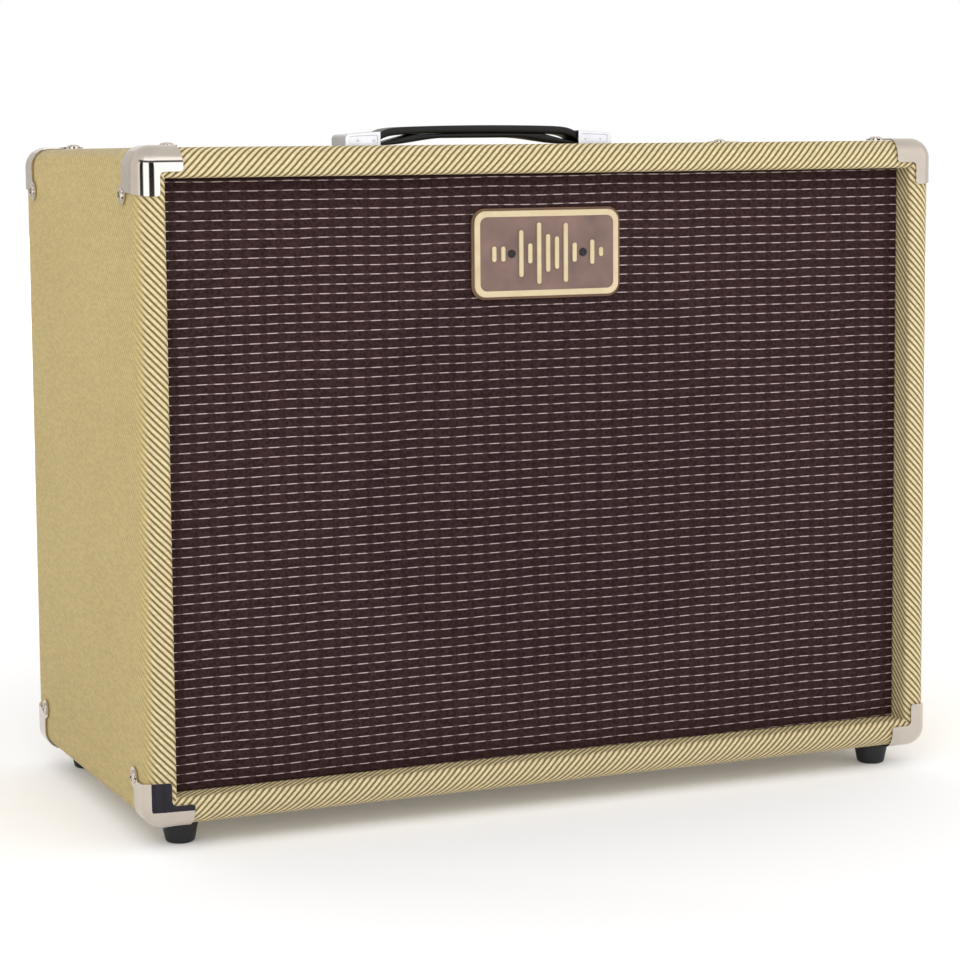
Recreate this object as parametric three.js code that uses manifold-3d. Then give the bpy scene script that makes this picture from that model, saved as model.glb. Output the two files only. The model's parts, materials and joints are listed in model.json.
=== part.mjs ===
// A guitar amplifier: a valve combo with one 12-inch speaker in a cloth-covered wooden cabinet.
// Millimetres, +Z up, the front towards -Y. The origin is under the middle of the cabinet, on the
// surface that its feet stand on. Covering cloth, screws and wiring have no solids of their own.
import * as THREE from "three";
import { RoundedBoxGeometry } from "three/addons/geometries/RoundedBoxGeometry.js";
import { mergeVertices } from "three/addons/utils/BufferGeometryUtils.js";
import Module from "manifold-3d";

const wasm = await Module();
wasm.setup();

// ---- Driving dimensions ----
const WIDTH = 559;
const DEPTH = 272;
const HEIGHT = 415; // of the cabinet without its feet
const BOARD = 18.5; // thickness of the four cabinet boards, covering included
const FOOT_HEIGHT = 15.5;
const EDGE_RADIUS = 12;
const CLOTH_RECESS = 15.5; // from the front edges back to the grille cloth
const GAP = 0.3; // between pieces that touch
const PAST = 1; // how far a cutter runs past the surface it cuts

const FRONT = -DEPTH / 2;
const REAR = DEPTH / 2;
const BASE = FOOT_HEIGHT;
const TOP = BASE + HEIGHT;
const FLOOR = BASE + BOARD; // inside surfaces of the cabinet
const CEILING = TOP - BOARD;
const INNER_X = WIDTH / 2 - BOARD;
const MIDDLE_Z = (FLOOR + CEILING) / 2;

// Layers behind the front edges
const CLOTH = 1.2;
const GRILLE_DEPTH = 9;
const BAFFLE_DEPTH = 12.7;
const CLOTH_FRONT = FRONT + CLOTH_RECESS;
const GRILLE_FRONT = CLOTH_FRONT + CLOTH + GAP;
const BAFFLE_FRONT = GRILLE_FRONT + GRILLE_DEPTH + GAP;
const BAFFLE_REAR = BAFFLE_FRONT + BAFFLE_DEPTH;
const SPEAKER_HOLE_RADIUS = 137.5;

// The window in the top, and the chassis that hangs under it
const WINDOW = { halfLength: 232, front: 32, rear: 116 };
const PANEL_TOP = TOP - 24;
const PANEL = 1.5;
const CHASSIS = { halfLength: 226, front: 34, rear: 112, height: 60, wall: 1.6, flange: 24 };
const CHASSIS_TOP = PANEL_TOP - PANEL - GAP;
const CHASSIS_BASE = CHASSIS_TOP - CHASSIS.height;
const CONTROL_Y = (CHASSIS.front + CHASSIS.rear) / 2;
const BUSH_RADIUS = 4.8;
const BUSH_CLEARANCE = 0.4;
const NUT = 2;
const JACKS = { input_jack_1: -195, input_jack_2: -160 };
const CONTROLS = { volume: -105, treble: -50, bass: 5, reverb: 60 };
const LAMP_X = 112;
const SWITCHES = { standby_switch: 152, power_switch: 192 };
const SWITCH_BUSH_RADIUS = 5.8;
const LAMP_RADIUS = 7;

// What hangs under the chassis
const PREAMP_TUBES = [-178, -143, -108];
const POWER_TUBES = [-63, -18];
const OUTPUT_TRANSFORMER_X = 42;
const POWER_TRANSFORMER_X = 138;
const SPEAKER_JACK_X = 88;
const INLET_X = 200;
const INLET_BODY = { x: 28, y: 20 };

const BACK = { front: REAR - 12, rear: REAR - 2, lowerTop: 130, upperBase: 340 };
const HANDLE = { capInner: 73.4, capOuter: 98.6, width: 26, height: 9.5, wall: 1.1 };

const ROUND = 12; // sides of a small round piece
const SPEAKER_ROUND = 32;

// ---- Solids ----
function solidOf(geometry) {
  const bare = new THREE.BufferGeometry();
  bare.setAttribute("position", geometry.getAttribute("position"));
  bare.setIndex(geometry.index);
  const merged = mergeVertices(bare, 1e-4);
  const vertProperties = new Float32Array(merged.getAttribute("position").array);
  const triVerts = new Uint32Array(merged.index.array);
  return new wasm.Manifold(new wasm.Mesh({ numProp: 3, vertProperties, triVerts }));
}

function meshOf(name, solid, material, pivot = new THREE.Vector3()) {
  const { vertProperties, triVerts } = solid.getMesh();
  const geometry = new THREE.BufferGeometry();
  geometry.setAttribute("position", new THREE.BufferAttribute(vertProperties, 3));
  geometry.setIndex(new THREE.BufferAttribute(triVerts, 1));
  geometry.computeVertexNormals();
  const mesh = new THREE.Mesh(geometry, material);
  mesh.name = name;
  mesh.position.copy(pivot);
  return mesh;
}

function box(x0, x1, y0, y1, z0, z1) {
  const geometry = new THREE.BoxGeometry(x1 - x0, y1 - y0, z1 - z0);
  return solidOf(geometry.translate((x0 + x1) / 2, (y0 + y1) / 2, (z0 + z1) / 2));
}

function roundedBox(x0, x1, y0, y1, z0, z1, radius, steps) {
  const geometry = new RoundedBoxGeometry(x1 - x0, y1 - y0, z1 - z0, steps, radius);
  return solidOf(geometry.translate((x0 + x1) / 2, (y0 + y1) / 2, (z0 + z1) / 2));
}

// A turned solid: points are [radius, height] from the bottom up, with its axis along Z at (x, y)
function turned(points, x, y, sides = ROUND) {
  const outline = points.map(([radius, height]) => new THREE.Vector2(radius, height));
  return solidOf(new THREE.LatheGeometry(outline, sides).rotateX(Math.PI / 2).translate(x, y, 0));
}

// A turned solid of the speaker: points are [radius, depth behind the baffle]
function turnedForSpeaker(points) {
  const outline = points.map(([radius, depth]) => new THREE.Vector2(radius, BAFFLE_REAR + depth));
  return solidOf(new THREE.LatheGeometry(outline, SPEAKER_ROUND).translate(0, 0, MIDDLE_Z));
}

function cylinder(radius, x, y, z0, z1, sides = ROUND) {
  return turned([[0, z0], [radius, z0], [radius, z1], [0, z1]], x, y, sides);
}

function extrudedAlongY(shape, y0, y1, curveSegments = 6) {
  const options = { depth: y1 - y0, bevelEnabled: false, curveSegments };
  return solidOf(new THREE.ExtrudeGeometry(shape, options).rotateX(Math.PI / 2).translate(0, y1, 0));
}

function union(solids) {
  return solids.reduce((whole, solid) => whole.add(solid));
}

// ---- Materials ----
function material(color, roughness, metalness = 0) {
  return new THREE.MeshStandardMaterial({ color, roughness, metalness });
}
const TWEED = material(0xccb887, 0.85);
const GRILLE_CLOTH = material(0x442e30, 0.9);
const BARE_WOOD = material(0xb58a5a, 0.7);
const NICKEL = material(0xd8d6cf, 0.2, 1);
const STEEL = material(0xa8abad, 0.4, 1);
const BLACK_STEEL = material(0x242426, 0.5, 0.6);
const RUBBER = material(0x1b1c1f, 0.8);
const STRAP = material(0x17171a, 0.5);
const KNOB = material(0x191614, 0.35);
const IVORY = material(0xe6d9b0, 0.5);
const GLASS = material(0xcfd8d8, 0.1);
const RED_GLASS = material(0x9c1512, 0.15);
const FIBRE = material(0x5d4a22, 0.7);
const PAPER = material(0x2b2a28, 0.9);
const COPPER = material(0xb06f3c, 0.4, 1);

// ---- Cabinet ----
const FINGERS = 9;
const FINGER = DEPTH / FINGERS;
const CORNER_STEPS = 2;

function cabinetShell() {
  const half = WIDTH / 2;
  const outside = roundedBox(-half, half, FRONT, REAR, BASE, TOP, EDGE_RADIUS, CORNER_STEPS);
  return outside.subtract(box(-INNER_X, INNER_X, FRONT - PAST, REAR + PAST, FLOOR, CEILING));
}

// Every other stretch of a corner, which the top and bottom boards' fingers fill
function fingerBands(z0, z1, shrink) {
  const bands = [];
  for (let i = 1; i < FINGERS; i += 2) {
    const y = FRONT + i * FINGER;
    bands.push(box(-WIDTH, WIDTH, y + shrink, y + FINGER - shrink, z0, z1));
  }
  return union(bands);
}

function levelBoard(shell, z0, z1) {
  const middle = box(-INNER_X + GAP, INNER_X - GAP, FRONT - PAST, REAR + PAST, z0, z1);
  return shell.intersect(middle.add(fingerBands(z0, z1, GAP / 2)));
}

function sideBoard(shell, x0, x1) {
  return shell
    .intersect(box(x0, x1, FRONT - PAST, REAR + PAST, BASE - PAST, TOP + PAST))
    .subtract(fingerBands(CEILING - GAP, TOP + PAST, -GAP / 2))
    .subtract(fingerBands(BASE - PAST, FLOOR + GAP, -GAP / 2));
}

function cabinet() {
  const group = new THREE.Group();
  const shell = cabinetShell();
  const { halfLength, front, rear } = WINDOW;
  const window = box(-halfLength, halfLength, front, rear, CEILING - PAST, TOP + PAST);
  group.add(meshOf("top_panel", levelBoard(shell, CEILING, TOP + PAST).subtract(window), TWEED));
  group.add(meshOf("bottom_panel", levelBoard(shell, BASE - PAST, FLOOR), TWEED));
  group.add(meshOf("left_side_panel", sideBoard(shell, -WIDTH, -INNER_X), TWEED));
  group.add(meshOf("right_side_panel", sideBoard(shell, INNER_X, WIDTH), TWEED));
  return group;
}

// ---- Corner protectors ----
const PROTECTOR = { plate: 27, lobeCentre: 28, lobeRadius: 6.5, lipLength: 29.5, lipWidth: 14.5 };
const PROTECTOR_METAL = 1.2;

function protectorShell() {
  const layer = (out) => {
    const half = WIDTH / 2 + out;
    const radius = EDGE_RADIUS + out;
    return roundedBox(-half, half, FRONT - out, REAR + out, BASE - out, TOP + out, radius, CORNER_STEPS);
  };
  return layer(GAP + PROTECTOR_METAL).subtract(layer(GAP));
}

// The room that one protector takes: an L on the front or rear face, and a plate with a round lobe on
// the side face and on the top or bottom face. Distances are inwards from the cabinet's own corner.
function protectorRoom(sideX, sideY, sideZ) {
  const reach = EDGE_RADIUS;
  const over = 3;
  const cornerZ = sideZ > 0 ? TOP : BASE;
  const room = (a0, a1, b0, b1, c0, c1) => {
    const x = [sideX * (WIDTH / 2 - a0), sideX * (WIDTH / 2 - a1)].sort((p, q) => p - q);
    const y = [sideY * (REAR - b0), sideY * (REAR - b1)].sort((p, q) => p - q);
    const z = [cornerZ - sideZ * c0, cornerZ - sideZ * c1].sort((p, q) => p - q);
    return box(...x, ...y, ...z);
  };
  const { plate, lobeCentre, lobeRadius, lipLength, lipWidth } = PROTECTOR;
  const lobeX = sideX * (WIDTH / 2 - lobeCentre);
  const lobeY = sideY * (REAR - lobeCentre);
  const lobeZ = cornerZ - sideZ * lobeCentre;
  const levelLobe = cylinder(lobeRadius, lobeX, lobeY, cornerZ - reach, cornerZ + reach, ROUND);
  const sideLobe = new THREE.CylinderGeometry(lobeRadius, lobeRadius, 2 * reach, ROUND)
    .rotateZ(Math.PI / 2)
    .translate(sideX * (WIDTH / 2), lobeY, lobeZ);
  return union([
    room(-over, reach, -over, plate, -over, plate),
    room(-over, plate, -over, plate, -over, reach),
    room(-over, lipLength, -over, reach, -over, lipWidth),
    room(-over, lipWidth, -over, reach, -over, lipLength),
    levelLobe,
    solidOf(sideLobe),
  ]);
}

function cornerProtectors() {
  const group = new THREE.Group();
  const shell = protectorShell();
  for (const [sideY, depthName] of [[-1, "front"], [1, "rear"]])
    for (const [sideZ, levelName] of [[1, "top"], [-1, "bottom"]])
      for (const [sideX, sideName] of [[-1, "left"], [1, "right"]]) {
        const name = `corner_${depthName}_${levelName}_${sideName}`;
        group.add(meshOf(name, shell.intersect(protectorRoom(sideX, sideY, sideZ)), NICKEL));
      }
  return group;
}

// ---- Feet ----
// Each stands under a protector's round lobe, and one screw holds both
const FOOT = { topRadius: 12, baseRadius: 9.5, edge: 2, top: BASE - PROTECTOR_METAL - 2 * GAP };

function feet() {
  const group = new THREE.Group();
  const { topRadius, baseRadius, edge, top } = FOOT;
  const inset = PROTECTOR.lobeCentre;
  const outline = [[0, 0], [baseRadius - edge, 0], [baseRadius, edge], [topRadius, top], [0, top]];
  for (const [sideY, depthName] of [[-1, "front"], [1, "rear"]])
    for (const [sideX, sideName] of [[-1, "left"], [1, "right"]]) {
      const foot = turned(outline, sideX * (WIDTH / 2 - inset), sideY * (REAR - inset));
      group.add(meshOf(`foot_${depthName}_${sideName}`, foot, RUBBER));
    }
  return group;
}

// ---- Grille, badge and baffle ----
// The cloth is wrapped on a frame of four rails, with a block between the upper ones behind the badge
const GRILLE_RAILS = { outerGap: 1.5, width: 22 };
const BADGE_BLOCK = { halfLength: 62.5, base: TOP - 91.5 }; // the wood that the badge's screws bite into
const BADGE = { x: -3.5, z: TOP - 69.5, width: 105, height: 58, depth: 3, corner: 9 };

function badgePlate() {
  const { x, z, width, height, depth, corner } = BADGE;
  const shape = new THREE.Shape();
  const left = x - width / 2;
  const base = z - height / 2;
  shape.moveTo(left + corner, base);
  shape.lineTo(left + width - corner, base);
  shape.absarc(left + width - corner, base + corner, corner, -Math.PI / 2, 0);
  shape.absarc(left + width - corner, base + height - corner, corner, 0, Math.PI / 2);
  shape.absarc(left + corner, base + height - corner, corner, Math.PI / 2, Math.PI);
  shape.absarc(left + corner, base + corner, corner, Math.PI, 1.5 * Math.PI);
  return extrudedAlongY(shape, CLOTH_FRONT - GAP - depth, CLOTH_FRONT - GAP);
}

function grille() {
  const group = new THREE.Group();
  const { outerGap, width } = GRILLE_RAILS;
  const x = INNER_X - outerGap;
  const [z0, z1] = [FLOOR + outerGap, CEILING - outerGap];
  const rear = GRILLE_FRONT + GRILLE_DEPTH;
  const hole = box(-x + width, x - width, GRILLE_FRONT - PAST, rear + PAST, z0 + width, z1 - width);
  const { halfLength, base } = BADGE_BLOCK;
  const block = box(-halfLength, halfLength, GRILLE_FRONT, rear, base, z1 - width + PAST);
  const frame = box(-x, x, GRILLE_FRONT, rear, z0, z1).subtract(hole).add(block);
  const clothX = INNER_X - GAP;
  const clothRear = CLOTH_FRONT + CLOTH;
  const cloth = box(-clothX, clothX, CLOTH_FRONT, clothRear, FLOOR + GAP, CEILING - GAP);
  group.add(meshOf("grille_frame", frame, BARE_WOOD));
  group.add(meshOf("grille_cloth", cloth, GRILLE_CLOTH));
  group.add(meshOf("badge_plate", badgePlate(), IVORY));
  return group;
}

function baffleBoard() {
  const hole = new THREE.CylinderGeometry(SPEAKER_HOLE_RADIUS, SPEAKER_HOLE_RADIUS, DEPTH, SPEAKER_ROUND);
  const board = box(-INNER_X + GAP, INNER_X - GAP, BAFFLE_FRONT, BAFFLE_REAR, FLOOR + GAP, CEILING - GAP);
  return meshOf("baffle_board", board.subtract(solidOf(hole.translate(0, 0, MIDDLE_Z))), BARE_WOOD);
}

// ---- Back ----
const CLEAT = { width: 12.7, front: 104, top: CEILING - 7 };

function back() {
  const group = new THREE.Group();
  const x = INNER_X - GAP;
  const upper = box(-x, x, BACK.front, BACK.rear, BACK.upperBase, CEILING - GAP);
  const lower = box(-x, x, BACK.front, BACK.rear, FLOOR + GAP, BACK.lowerTop);
  group.add(meshOf("upper_back_panel", upper, TWEED));
  group.add(meshOf("lower_back_panel", lower, TWEED));
  const cleat = box(0, CLEAT.width, CLEAT.front, BACK.front - GAP, FLOOR + GAP, CLEAT.top);
  group.add(meshOf("back_cleat_left", cleat, BARE_WOOD, new THREE.Vector3(-x, 0, 0)));
  group.add(meshOf("back_cleat_right", cleat, BARE_WOOD, new THREE.Vector3(x - CLEAT.width, 0, 0)));
  return group;
}

// ---- Handle ----
const STRAP_WIDTH = 22;
const STRAP_RISE = 13.5; // of its upper face above the cabinet, at the middle
const STRAP_UNDER = 5.4;
const TONGUE = { length: 90, base: 0.6, thickness: 2.6 }; // its ends, loose inside the caps

// Seen from the front: a sloping roof that turns down at the outer end
function capProfile(inner, outer, base, crown) {
  const shape = new THREE.Shape();
  shape.moveTo(inner, base);
  shape.lineTo(outer, base);
  shape.lineTo(outer, crown - 5);
  shape.quadraticCurveTo(outer, crown - 2.3, outer - 3, crown - 1.8);
  shape.lineTo(inner, crown);
  return shape;
}

function handleCap(side) {
  const { capInner, capOuter, width, height, wall } = HANDLE;
  const outside = extrudedAlongY(capProfile(capInner, capOuter, GAP, height), -width / 2, width / 2);
  const hollow = capProfile(capInner - PAST, capOuter - wall, -PAST, height - wall);
  const inside = extrudedAlongY(hollow, -width / 2 + wall, width / 2 - wall);
  const name = side > 0 ? "handle_cap_right" : "handle_cap_left";
  const mesh = meshOf(name, outside.subtract(inside), NICKEL, new THREE.Vector3(0, 0, TOP));
  mesh.rotation.z = side > 0 ? 0 : Math.PI;
  return mesh;
}

function strap() {
  const { length, base, thickness } = TONGUE;
  const shape = new THREE.Shape();
  const mouth = HANDLE.capInner - 4; // where the strap starts to rise
  shape.moveTo(-length, base);
  shape.lineTo(-mouth, base);
  shape.quadraticCurveTo(-mouth + 8, STRAP_UNDER, -mouth + 22, STRAP_UNDER);
  shape.lineTo(mouth - 22, STRAP_UNDER);
  shape.quadraticCurveTo(mouth - 8, STRAP_UNDER, mouth, base);
  shape.lineTo(length, base);
  shape.lineTo(length, base + thickness);
  shape.lineTo(mouth, base + thickness);
  shape.quadraticCurveTo(mouth - 14, STRAP_RISE, mouth - 32, STRAP_RISE);
  shape.lineTo(-mouth + 32, STRAP_RISE);
  shape.quadraticCurveTo(-mouth + 14, STRAP_RISE, -mouth, base + thickness);
  shape.lineTo(-length, base + thickness);
  const solid = extrudedAlongY(shape, -STRAP_WIDTH / 2, STRAP_WIDTH / 2);
  return meshOf("handle_strap", solid, STRAP, new THREE.Vector3(0, 0, TOP));
}

function handle() {
  return new THREE.Group().add(handleCap(-1), handleCap(1), strap());
}

// ---- Chassis and control panel ----
function controlHoles(z0, z1) {
  const holes = [];
  const bushXs = [...Object.values(JACKS), ...Object.values(CONTROLS)];
  for (const x of bushXs) holes.push(cylinder(BUSH_RADIUS + BUSH_CLEARANCE, x, CONTROL_Y, z0, z1));
  for (const x of Object.values(SWITCHES))
    holes.push(cylinder(SWITCH_BUSH_RADIUS + BUSH_CLEARANCE, x, CONTROL_Y, z0, z1));
  holes.push(cylinder(LAMP_RADIUS + BUSH_CLEARANCE, LAMP_X, CONTROL_Y, z0, z1));
  return union(holes);
}

// A channel closed at the front, top, bottom and ends, and open to the rear, hung by a flange at each end
function chassis() {
  const { halfLength, front, rear, wall, flange } = CHASSIS;
  const flangeTop = CEILING - GAP;
  const outside = box(-halfLength, halfLength, front, rear, CHASSIS_BASE, CHASSIS_TOP);
  const inside = box(
    -halfLength + wall, halfLength - wall, front + wall, rear + PAST, CHASSIS_BASE + wall, CHASSIS_TOP - wall,
  );
  const hangers = [-1, 1].map((side) => {
    const ends = [side * (halfLength - wall), side * (halfLength + flange)].sort((p, q) => p - q);
    const upright = [side * (halfLength - wall), side * halfLength].sort((p, q) => p - q);
    return box(...ends, front, rear, flangeTop - wall, flangeTop)
      .add(box(...upright, front, rear, CHASSIS_TOP - wall, flangeTop));
  });
  const inletHole = box(
    INLET_X - INLET_BODY.x / 2 - GAP,
    INLET_X + INLET_BODY.x / 2 + GAP,
    CONTROL_Y - INLET_BODY.y / 2 - GAP,
    CONTROL_Y + INLET_BODY.y / 2 + GAP,
    CHASSIS_BASE - PAST,
    CHASSIS_BASE + wall + PAST,
  );
  const jackHole = cylinder(
    BUSH_RADIUS + BUSH_CLEARANCE, SPEAKER_JACK_X, CONTROL_Y, CHASSIS_BASE - PAST, CHASSIS_BASE + wall + PAST,
  );
  const solid = union([outside.subtract(inside), ...hangers])
    .subtract(controlHoles(CHASSIS_TOP - wall - PAST, CHASSIS_TOP + PAST))
    .subtract(inletHole)
    .subtract(jackHole);
  return meshOf("chassis", solid, STEEL);
}

function controlPanel() {
  const x = CHASSIS.halfLength - CHASSIS.wall - 2 * GAP;
  const plate = box(-x, x, CHASSIS.front, CHASSIS.rear, PANEL_TOP - PANEL, PANEL_TOP);
  const holes = controlHoles(PANEL_TOP - PANEL - PAST, PANEL_TOP + PAST);
  return meshOf("control_panel", plate.subtract(holes), NICKEL);
}

// ---- Controls ----
const NUT_BASE = PANEL_TOP + GAP;
const NUT_TOP = NUT_BASE + NUT;
const UNDER_CHASSIS = CHASSIS_TOP - CHASSIS.wall - GAP;
const NUT_SIDES = 6;

// A quarter-inch socket with its mouth at the origin, through plates of the given thickness below it
function jack(name, plates) {
  const bore = { radius: 3.4, sides: 16 };
  const body = { radius: 9, depth: 20, floor: 2 };
  const nutRadius = 8;
  const bodyTop = -plates - GAP;
  const nutTop = GAP + NUT;
  const bodyBase = bodyTop - body.depth;
  const solid = union([
    cylinder(body.radius, 0, 0, bodyBase, bodyTop),
    cylinder(BUSH_RADIUS, 0, 0, bodyTop - PAST, nutTop),
    cylinder(nutRadius, 0, 0, GAP, nutTop, NUT_SIDES),
  ]).subtract(cylinder(bore.radius, 0, 0, bodyBase + body.floor, nutTop + PAST, bore.sides));
  return meshOf(name, solid, BLACK_STEEL);
}

function inputJack(name, x) {
  const mesh = jack(name, PANEL_TOP - CHASSIS_TOP + CHASSIS.wall);
  mesh.position.set(x, CONTROL_Y, PANEL_TOP);
  return mesh;
}

// The socket for the speaker's lead, upside down in the chassis's lower plate
function speakerJack() {
  const mesh = jack("speaker_jack", CHASSIS.wall);
  mesh.position.set(SPEAKER_JACK_X, CONTROL_Y, CHASSIS_BASE);
  mesh.rotation.x = Math.PI;
  return mesh;
}

const SHAFT_RADIUS = 3;

function potentiometer(name, x) {
  const body = { radius: 12, depth: 11, floor: 2 };
  const nutRadius = 7.5;
  const bodyBase = UNDER_CHASSIS - body.depth;
  const bore = cylinder(SHAFT_RADIUS + 0.2, x, CONTROL_Y, bodyBase + body.floor, NUT_TOP + PAST);
  const solid = union([
    cylinder(body.radius, x, CONTROL_Y, bodyBase, UNDER_CHASSIS),
    cylinder(BUSH_RADIUS, x, CONTROL_Y, UNDER_CHASSIS - PAST, NUT_TOP),
    cylinder(nutRadius, x, CONTROL_Y, NUT_BASE, NUT_TOP, NUT_SIDES),
  ]).subtract(bore);
  return meshOf(name, solid, STEEL);
}

// A knob with the shaft it is fixed to, and a pointer along its skirt
function knob(name, x) {
  const base = NUT_TOP + 0.8;
  const crown = base + 14.4;
  const skirt = 12.5;
  const shaftBase = UNDER_CHASSIS - 8;
  const outline = [
    [0, shaftBase], [SHAFT_RADIUS, shaftBase], [SHAFT_RADIUS, base], [skirt, base], [skirt, base + 2],
    [9.5, base + 4], [8.8, crown - 1], [7.8, crown], [0, crown],
  ];
  const pointer = box(x - 0.8, x + 0.8, CONTROL_Y + 4, CONTROL_Y + skirt - 0.5, base + 1, base + 3.4);
  return meshOf(name, turned(outline, x, CONTROL_Y, 16).add(pointer), KNOB);
}

const SWITCH = { pivot: UNDER_CHASSIS + 1, bore: 4.5, throwAngle: 12 };

function switchBody(name, x) {
  const body = { halfWidth: 7.5, halfLength: 14, depth: 20, boreDepth: 6 };
  const nutRadius = 9;
  const bushTop = PANEL_TOP + 8;
  const [y0, y1] = [CONTROL_Y - body.halfLength, CONTROL_Y + body.halfLength];
  const solid = union([
    box(x - body.halfWidth, x + body.halfWidth, y0, y1, UNDER_CHASSIS - body.depth, UNDER_CHASSIS),
    cylinder(SWITCH_BUSH_RADIUS, x, CONTROL_Y, UNDER_CHASSIS - PAST, bushTop),
    cylinder(nutRadius, x, CONTROL_Y, NUT_BASE, NUT_TOP, NUT_SIDES),
  ]).subtract(cylinder(SWITCH.bore, x, CONTROL_Y, UNDER_CHASSIS - body.boreDepth, bushTop + PAST));
  return meshOf(`${name}_body`, solid, STEEL);
}

// A bat-shaped lever on its pivot, thrown back towards the rear at rest
function switchLever(name, x) {
  const outline = [
    [0, -3], [2.1, -2.1], [3, 0], [2.1, 2.1], [1.7, 3.5], [1.7, 11], [3.1, 18], [2.4, 20.3], [0, 21],
  ];
  const mesh = meshOf(`${name}_lever`, turned(outline, 0, 0, 12), NICKEL);
  mesh.position.set(x, CONTROL_Y, SWITCH.pivot);
  mesh.rotation.x = THREE.MathUtils.degToRad(-SWITCH.throwAngle);
  return mesh;
}

function pilotLamp() {
  const holderBase = UNDER_CHASSIS - 22;
  const bezel = 9.5;
  const outline = [
    [0, holderBase], [LAMP_RADIUS, holderBase], [LAMP_RADIUS, NUT_BASE], [bezel, NUT_BASE],
    [bezel, NUT_BASE + 2], [7.5, NUT_BASE + 3], [6.8, NUT_BASE + 8], [4, NUT_BASE + 11], [0, NUT_BASE + 12],
  ];
  return meshOf("pilot_lamp", turned(outline, LAMP_X, CONTROL_Y), RED_GLASS);
}

function controls() {
  const group = new THREE.Group();
  for (const [name, x] of Object.entries(JACKS)) group.add(inputJack(name, x));
  for (const [name, x] of Object.entries(CONTROLS)) {
    group.add(potentiometer(`${name}_potentiometer`, x));
    group.add(knob(`${name}_knob`, x));
  }
  for (const [name, x] of Object.entries(SWITCHES)) {
    group.add(switchBody(name, x));
    group.add(switchLever(name, x));
  }
  group.add(pilotLamp());
  return group;
}

// ---- Electronics ----
const HUNG = CHASSIS_BASE - GAP; // top of what hangs from the chassis

function transformer(name, x, { stack, bell, width, height }) {
  const [y0, y1] = [CONTROL_Y - width / 2, CONTROL_Y + width / 2];
  const [z0, z1] = [HUNG - height, HUNG];
  const inset = 5; // of the bells from the edges of the core
  const bellRadius = 8;
  const reach = stack / 2 + bell;
  const core = box(x - stack / 2, x + stack / 2, y0, y1, z0, z1);
  const bells = roundedBox(
    x - reach, x + reach, y0 + inset, y1 - inset, z0 + inset, z1 - inset, bellRadius, 1,
  );
  return meshOf(name, core.add(bells), BLACK_STEEL);
}

// A valve hanging from its socket: base at the top, glass with a domed end below
function valve(name, x, { baseRadius, base, glassRadius, glass }) {
  const neck = HUNG - base;
  const end = neck - glass;
  const outline = [
    [0, end], [glassRadius * 0.35, end + 2], [glassRadius * 0.85, end + 6], [glassRadius, end + 13],
    [glassRadius, neck - 4], [baseRadius, neck], [baseRadius, HUNG], [0, HUNG],
  ];
  return meshOf(name, turned(outline, x, CONTROL_Y), GLASS);
}

// A circuit board on four posts that reach the chassis top
function circuitBoard() {
  const board = { halfLength: 150, y0: 40, y1: 102, z0: CHASSIS_BASE + 26, thickness: 2 };
  const post = { xs: [-140, -20, 100, 140], inset: 6, radius: 3 };
  const boardTop = board.z0 + board.thickness;
  const postBase = CHASSIS_BASE + CHASSIS.wall + GAP;
  const pieces = [box(-board.halfLength, board.halfLength, board.y0, board.y1, board.z0, boardTop)];
  for (const x of post.xs)
    for (const y of [board.y0 + post.inset, board.y1 - post.inset])
      pieces.push(cylinder(post.radius, x, y, postBase, boardTop, 6));
  return meshOf("circuit_board", union(pieces), FIBRE);
}

// A mains inlet: a flange under the chassis and a body up through it, with three blades in its socket
function powerInlet() {
  const socket = { x: 24, y: 16, depth: 20, blade: 12 };
  const flange = 2.2;
  const mouth = HUNG - flange;
  const socketEnd = mouth + socket.depth;
  const column = (width, depth, z0, z1) => box(-width / 2, width / 2, -depth / 2, depth / 2, z0, z1);
  const body = column(INLET_BODY.x, INLET_BODY.y, mouth, socketEnd + 2);
  const plate = column(44, 28, mouth, HUNG);
  const recess = column(socket.x, socket.y, mouth - PAST, socketEnd);
  const blades = [[-7, 2.5], [7, 2.5], [0, -2.5]].map(([x, y]) =>
    column(2, 4, socketEnd - socket.blade, socketEnd + PAST).translate([x, y, 0]),
  );
  const solid = union([body.add(plate).subtract(recess), ...blades]);
  return meshOf("power_inlet", solid, BLACK_STEEL, new THREE.Vector3(INLET_X, CONTROL_Y, 0));
}

// A folded steel pan, open side down on the cabinet's floor, with a foot at each end
function reverbTank() {
  const pan = { halfLength: 205, y0: 6, y1: 112, height: 33, wall: 1.2, foot: 14 };
  const base = FLOOR + GAP;
  const outside = box(-pan.halfLength, pan.halfLength, pan.y0, pan.y1, base, base + pan.height);
  const inside = box(
    -pan.halfLength + pan.wall, pan.halfLength - pan.wall, pan.y0 + pan.wall, pan.y1 - pan.wall,
    base - PAST, base + pan.height - pan.wall,
  );
  const solid = [-1, 1].reduce((whole, side) => {
    const ends = [side * (pan.halfLength - pan.wall), side * (pan.halfLength + pan.foot)];
    const [x0, x1] = ends.sort((p, q) => p - q);
    return whole.add(box(x0, x1, pan.y0, pan.y1, base, base + pan.wall));
  }, outside.subtract(inside));
  return meshOf("reverb_tank", solid, STEEL);
}

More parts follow.
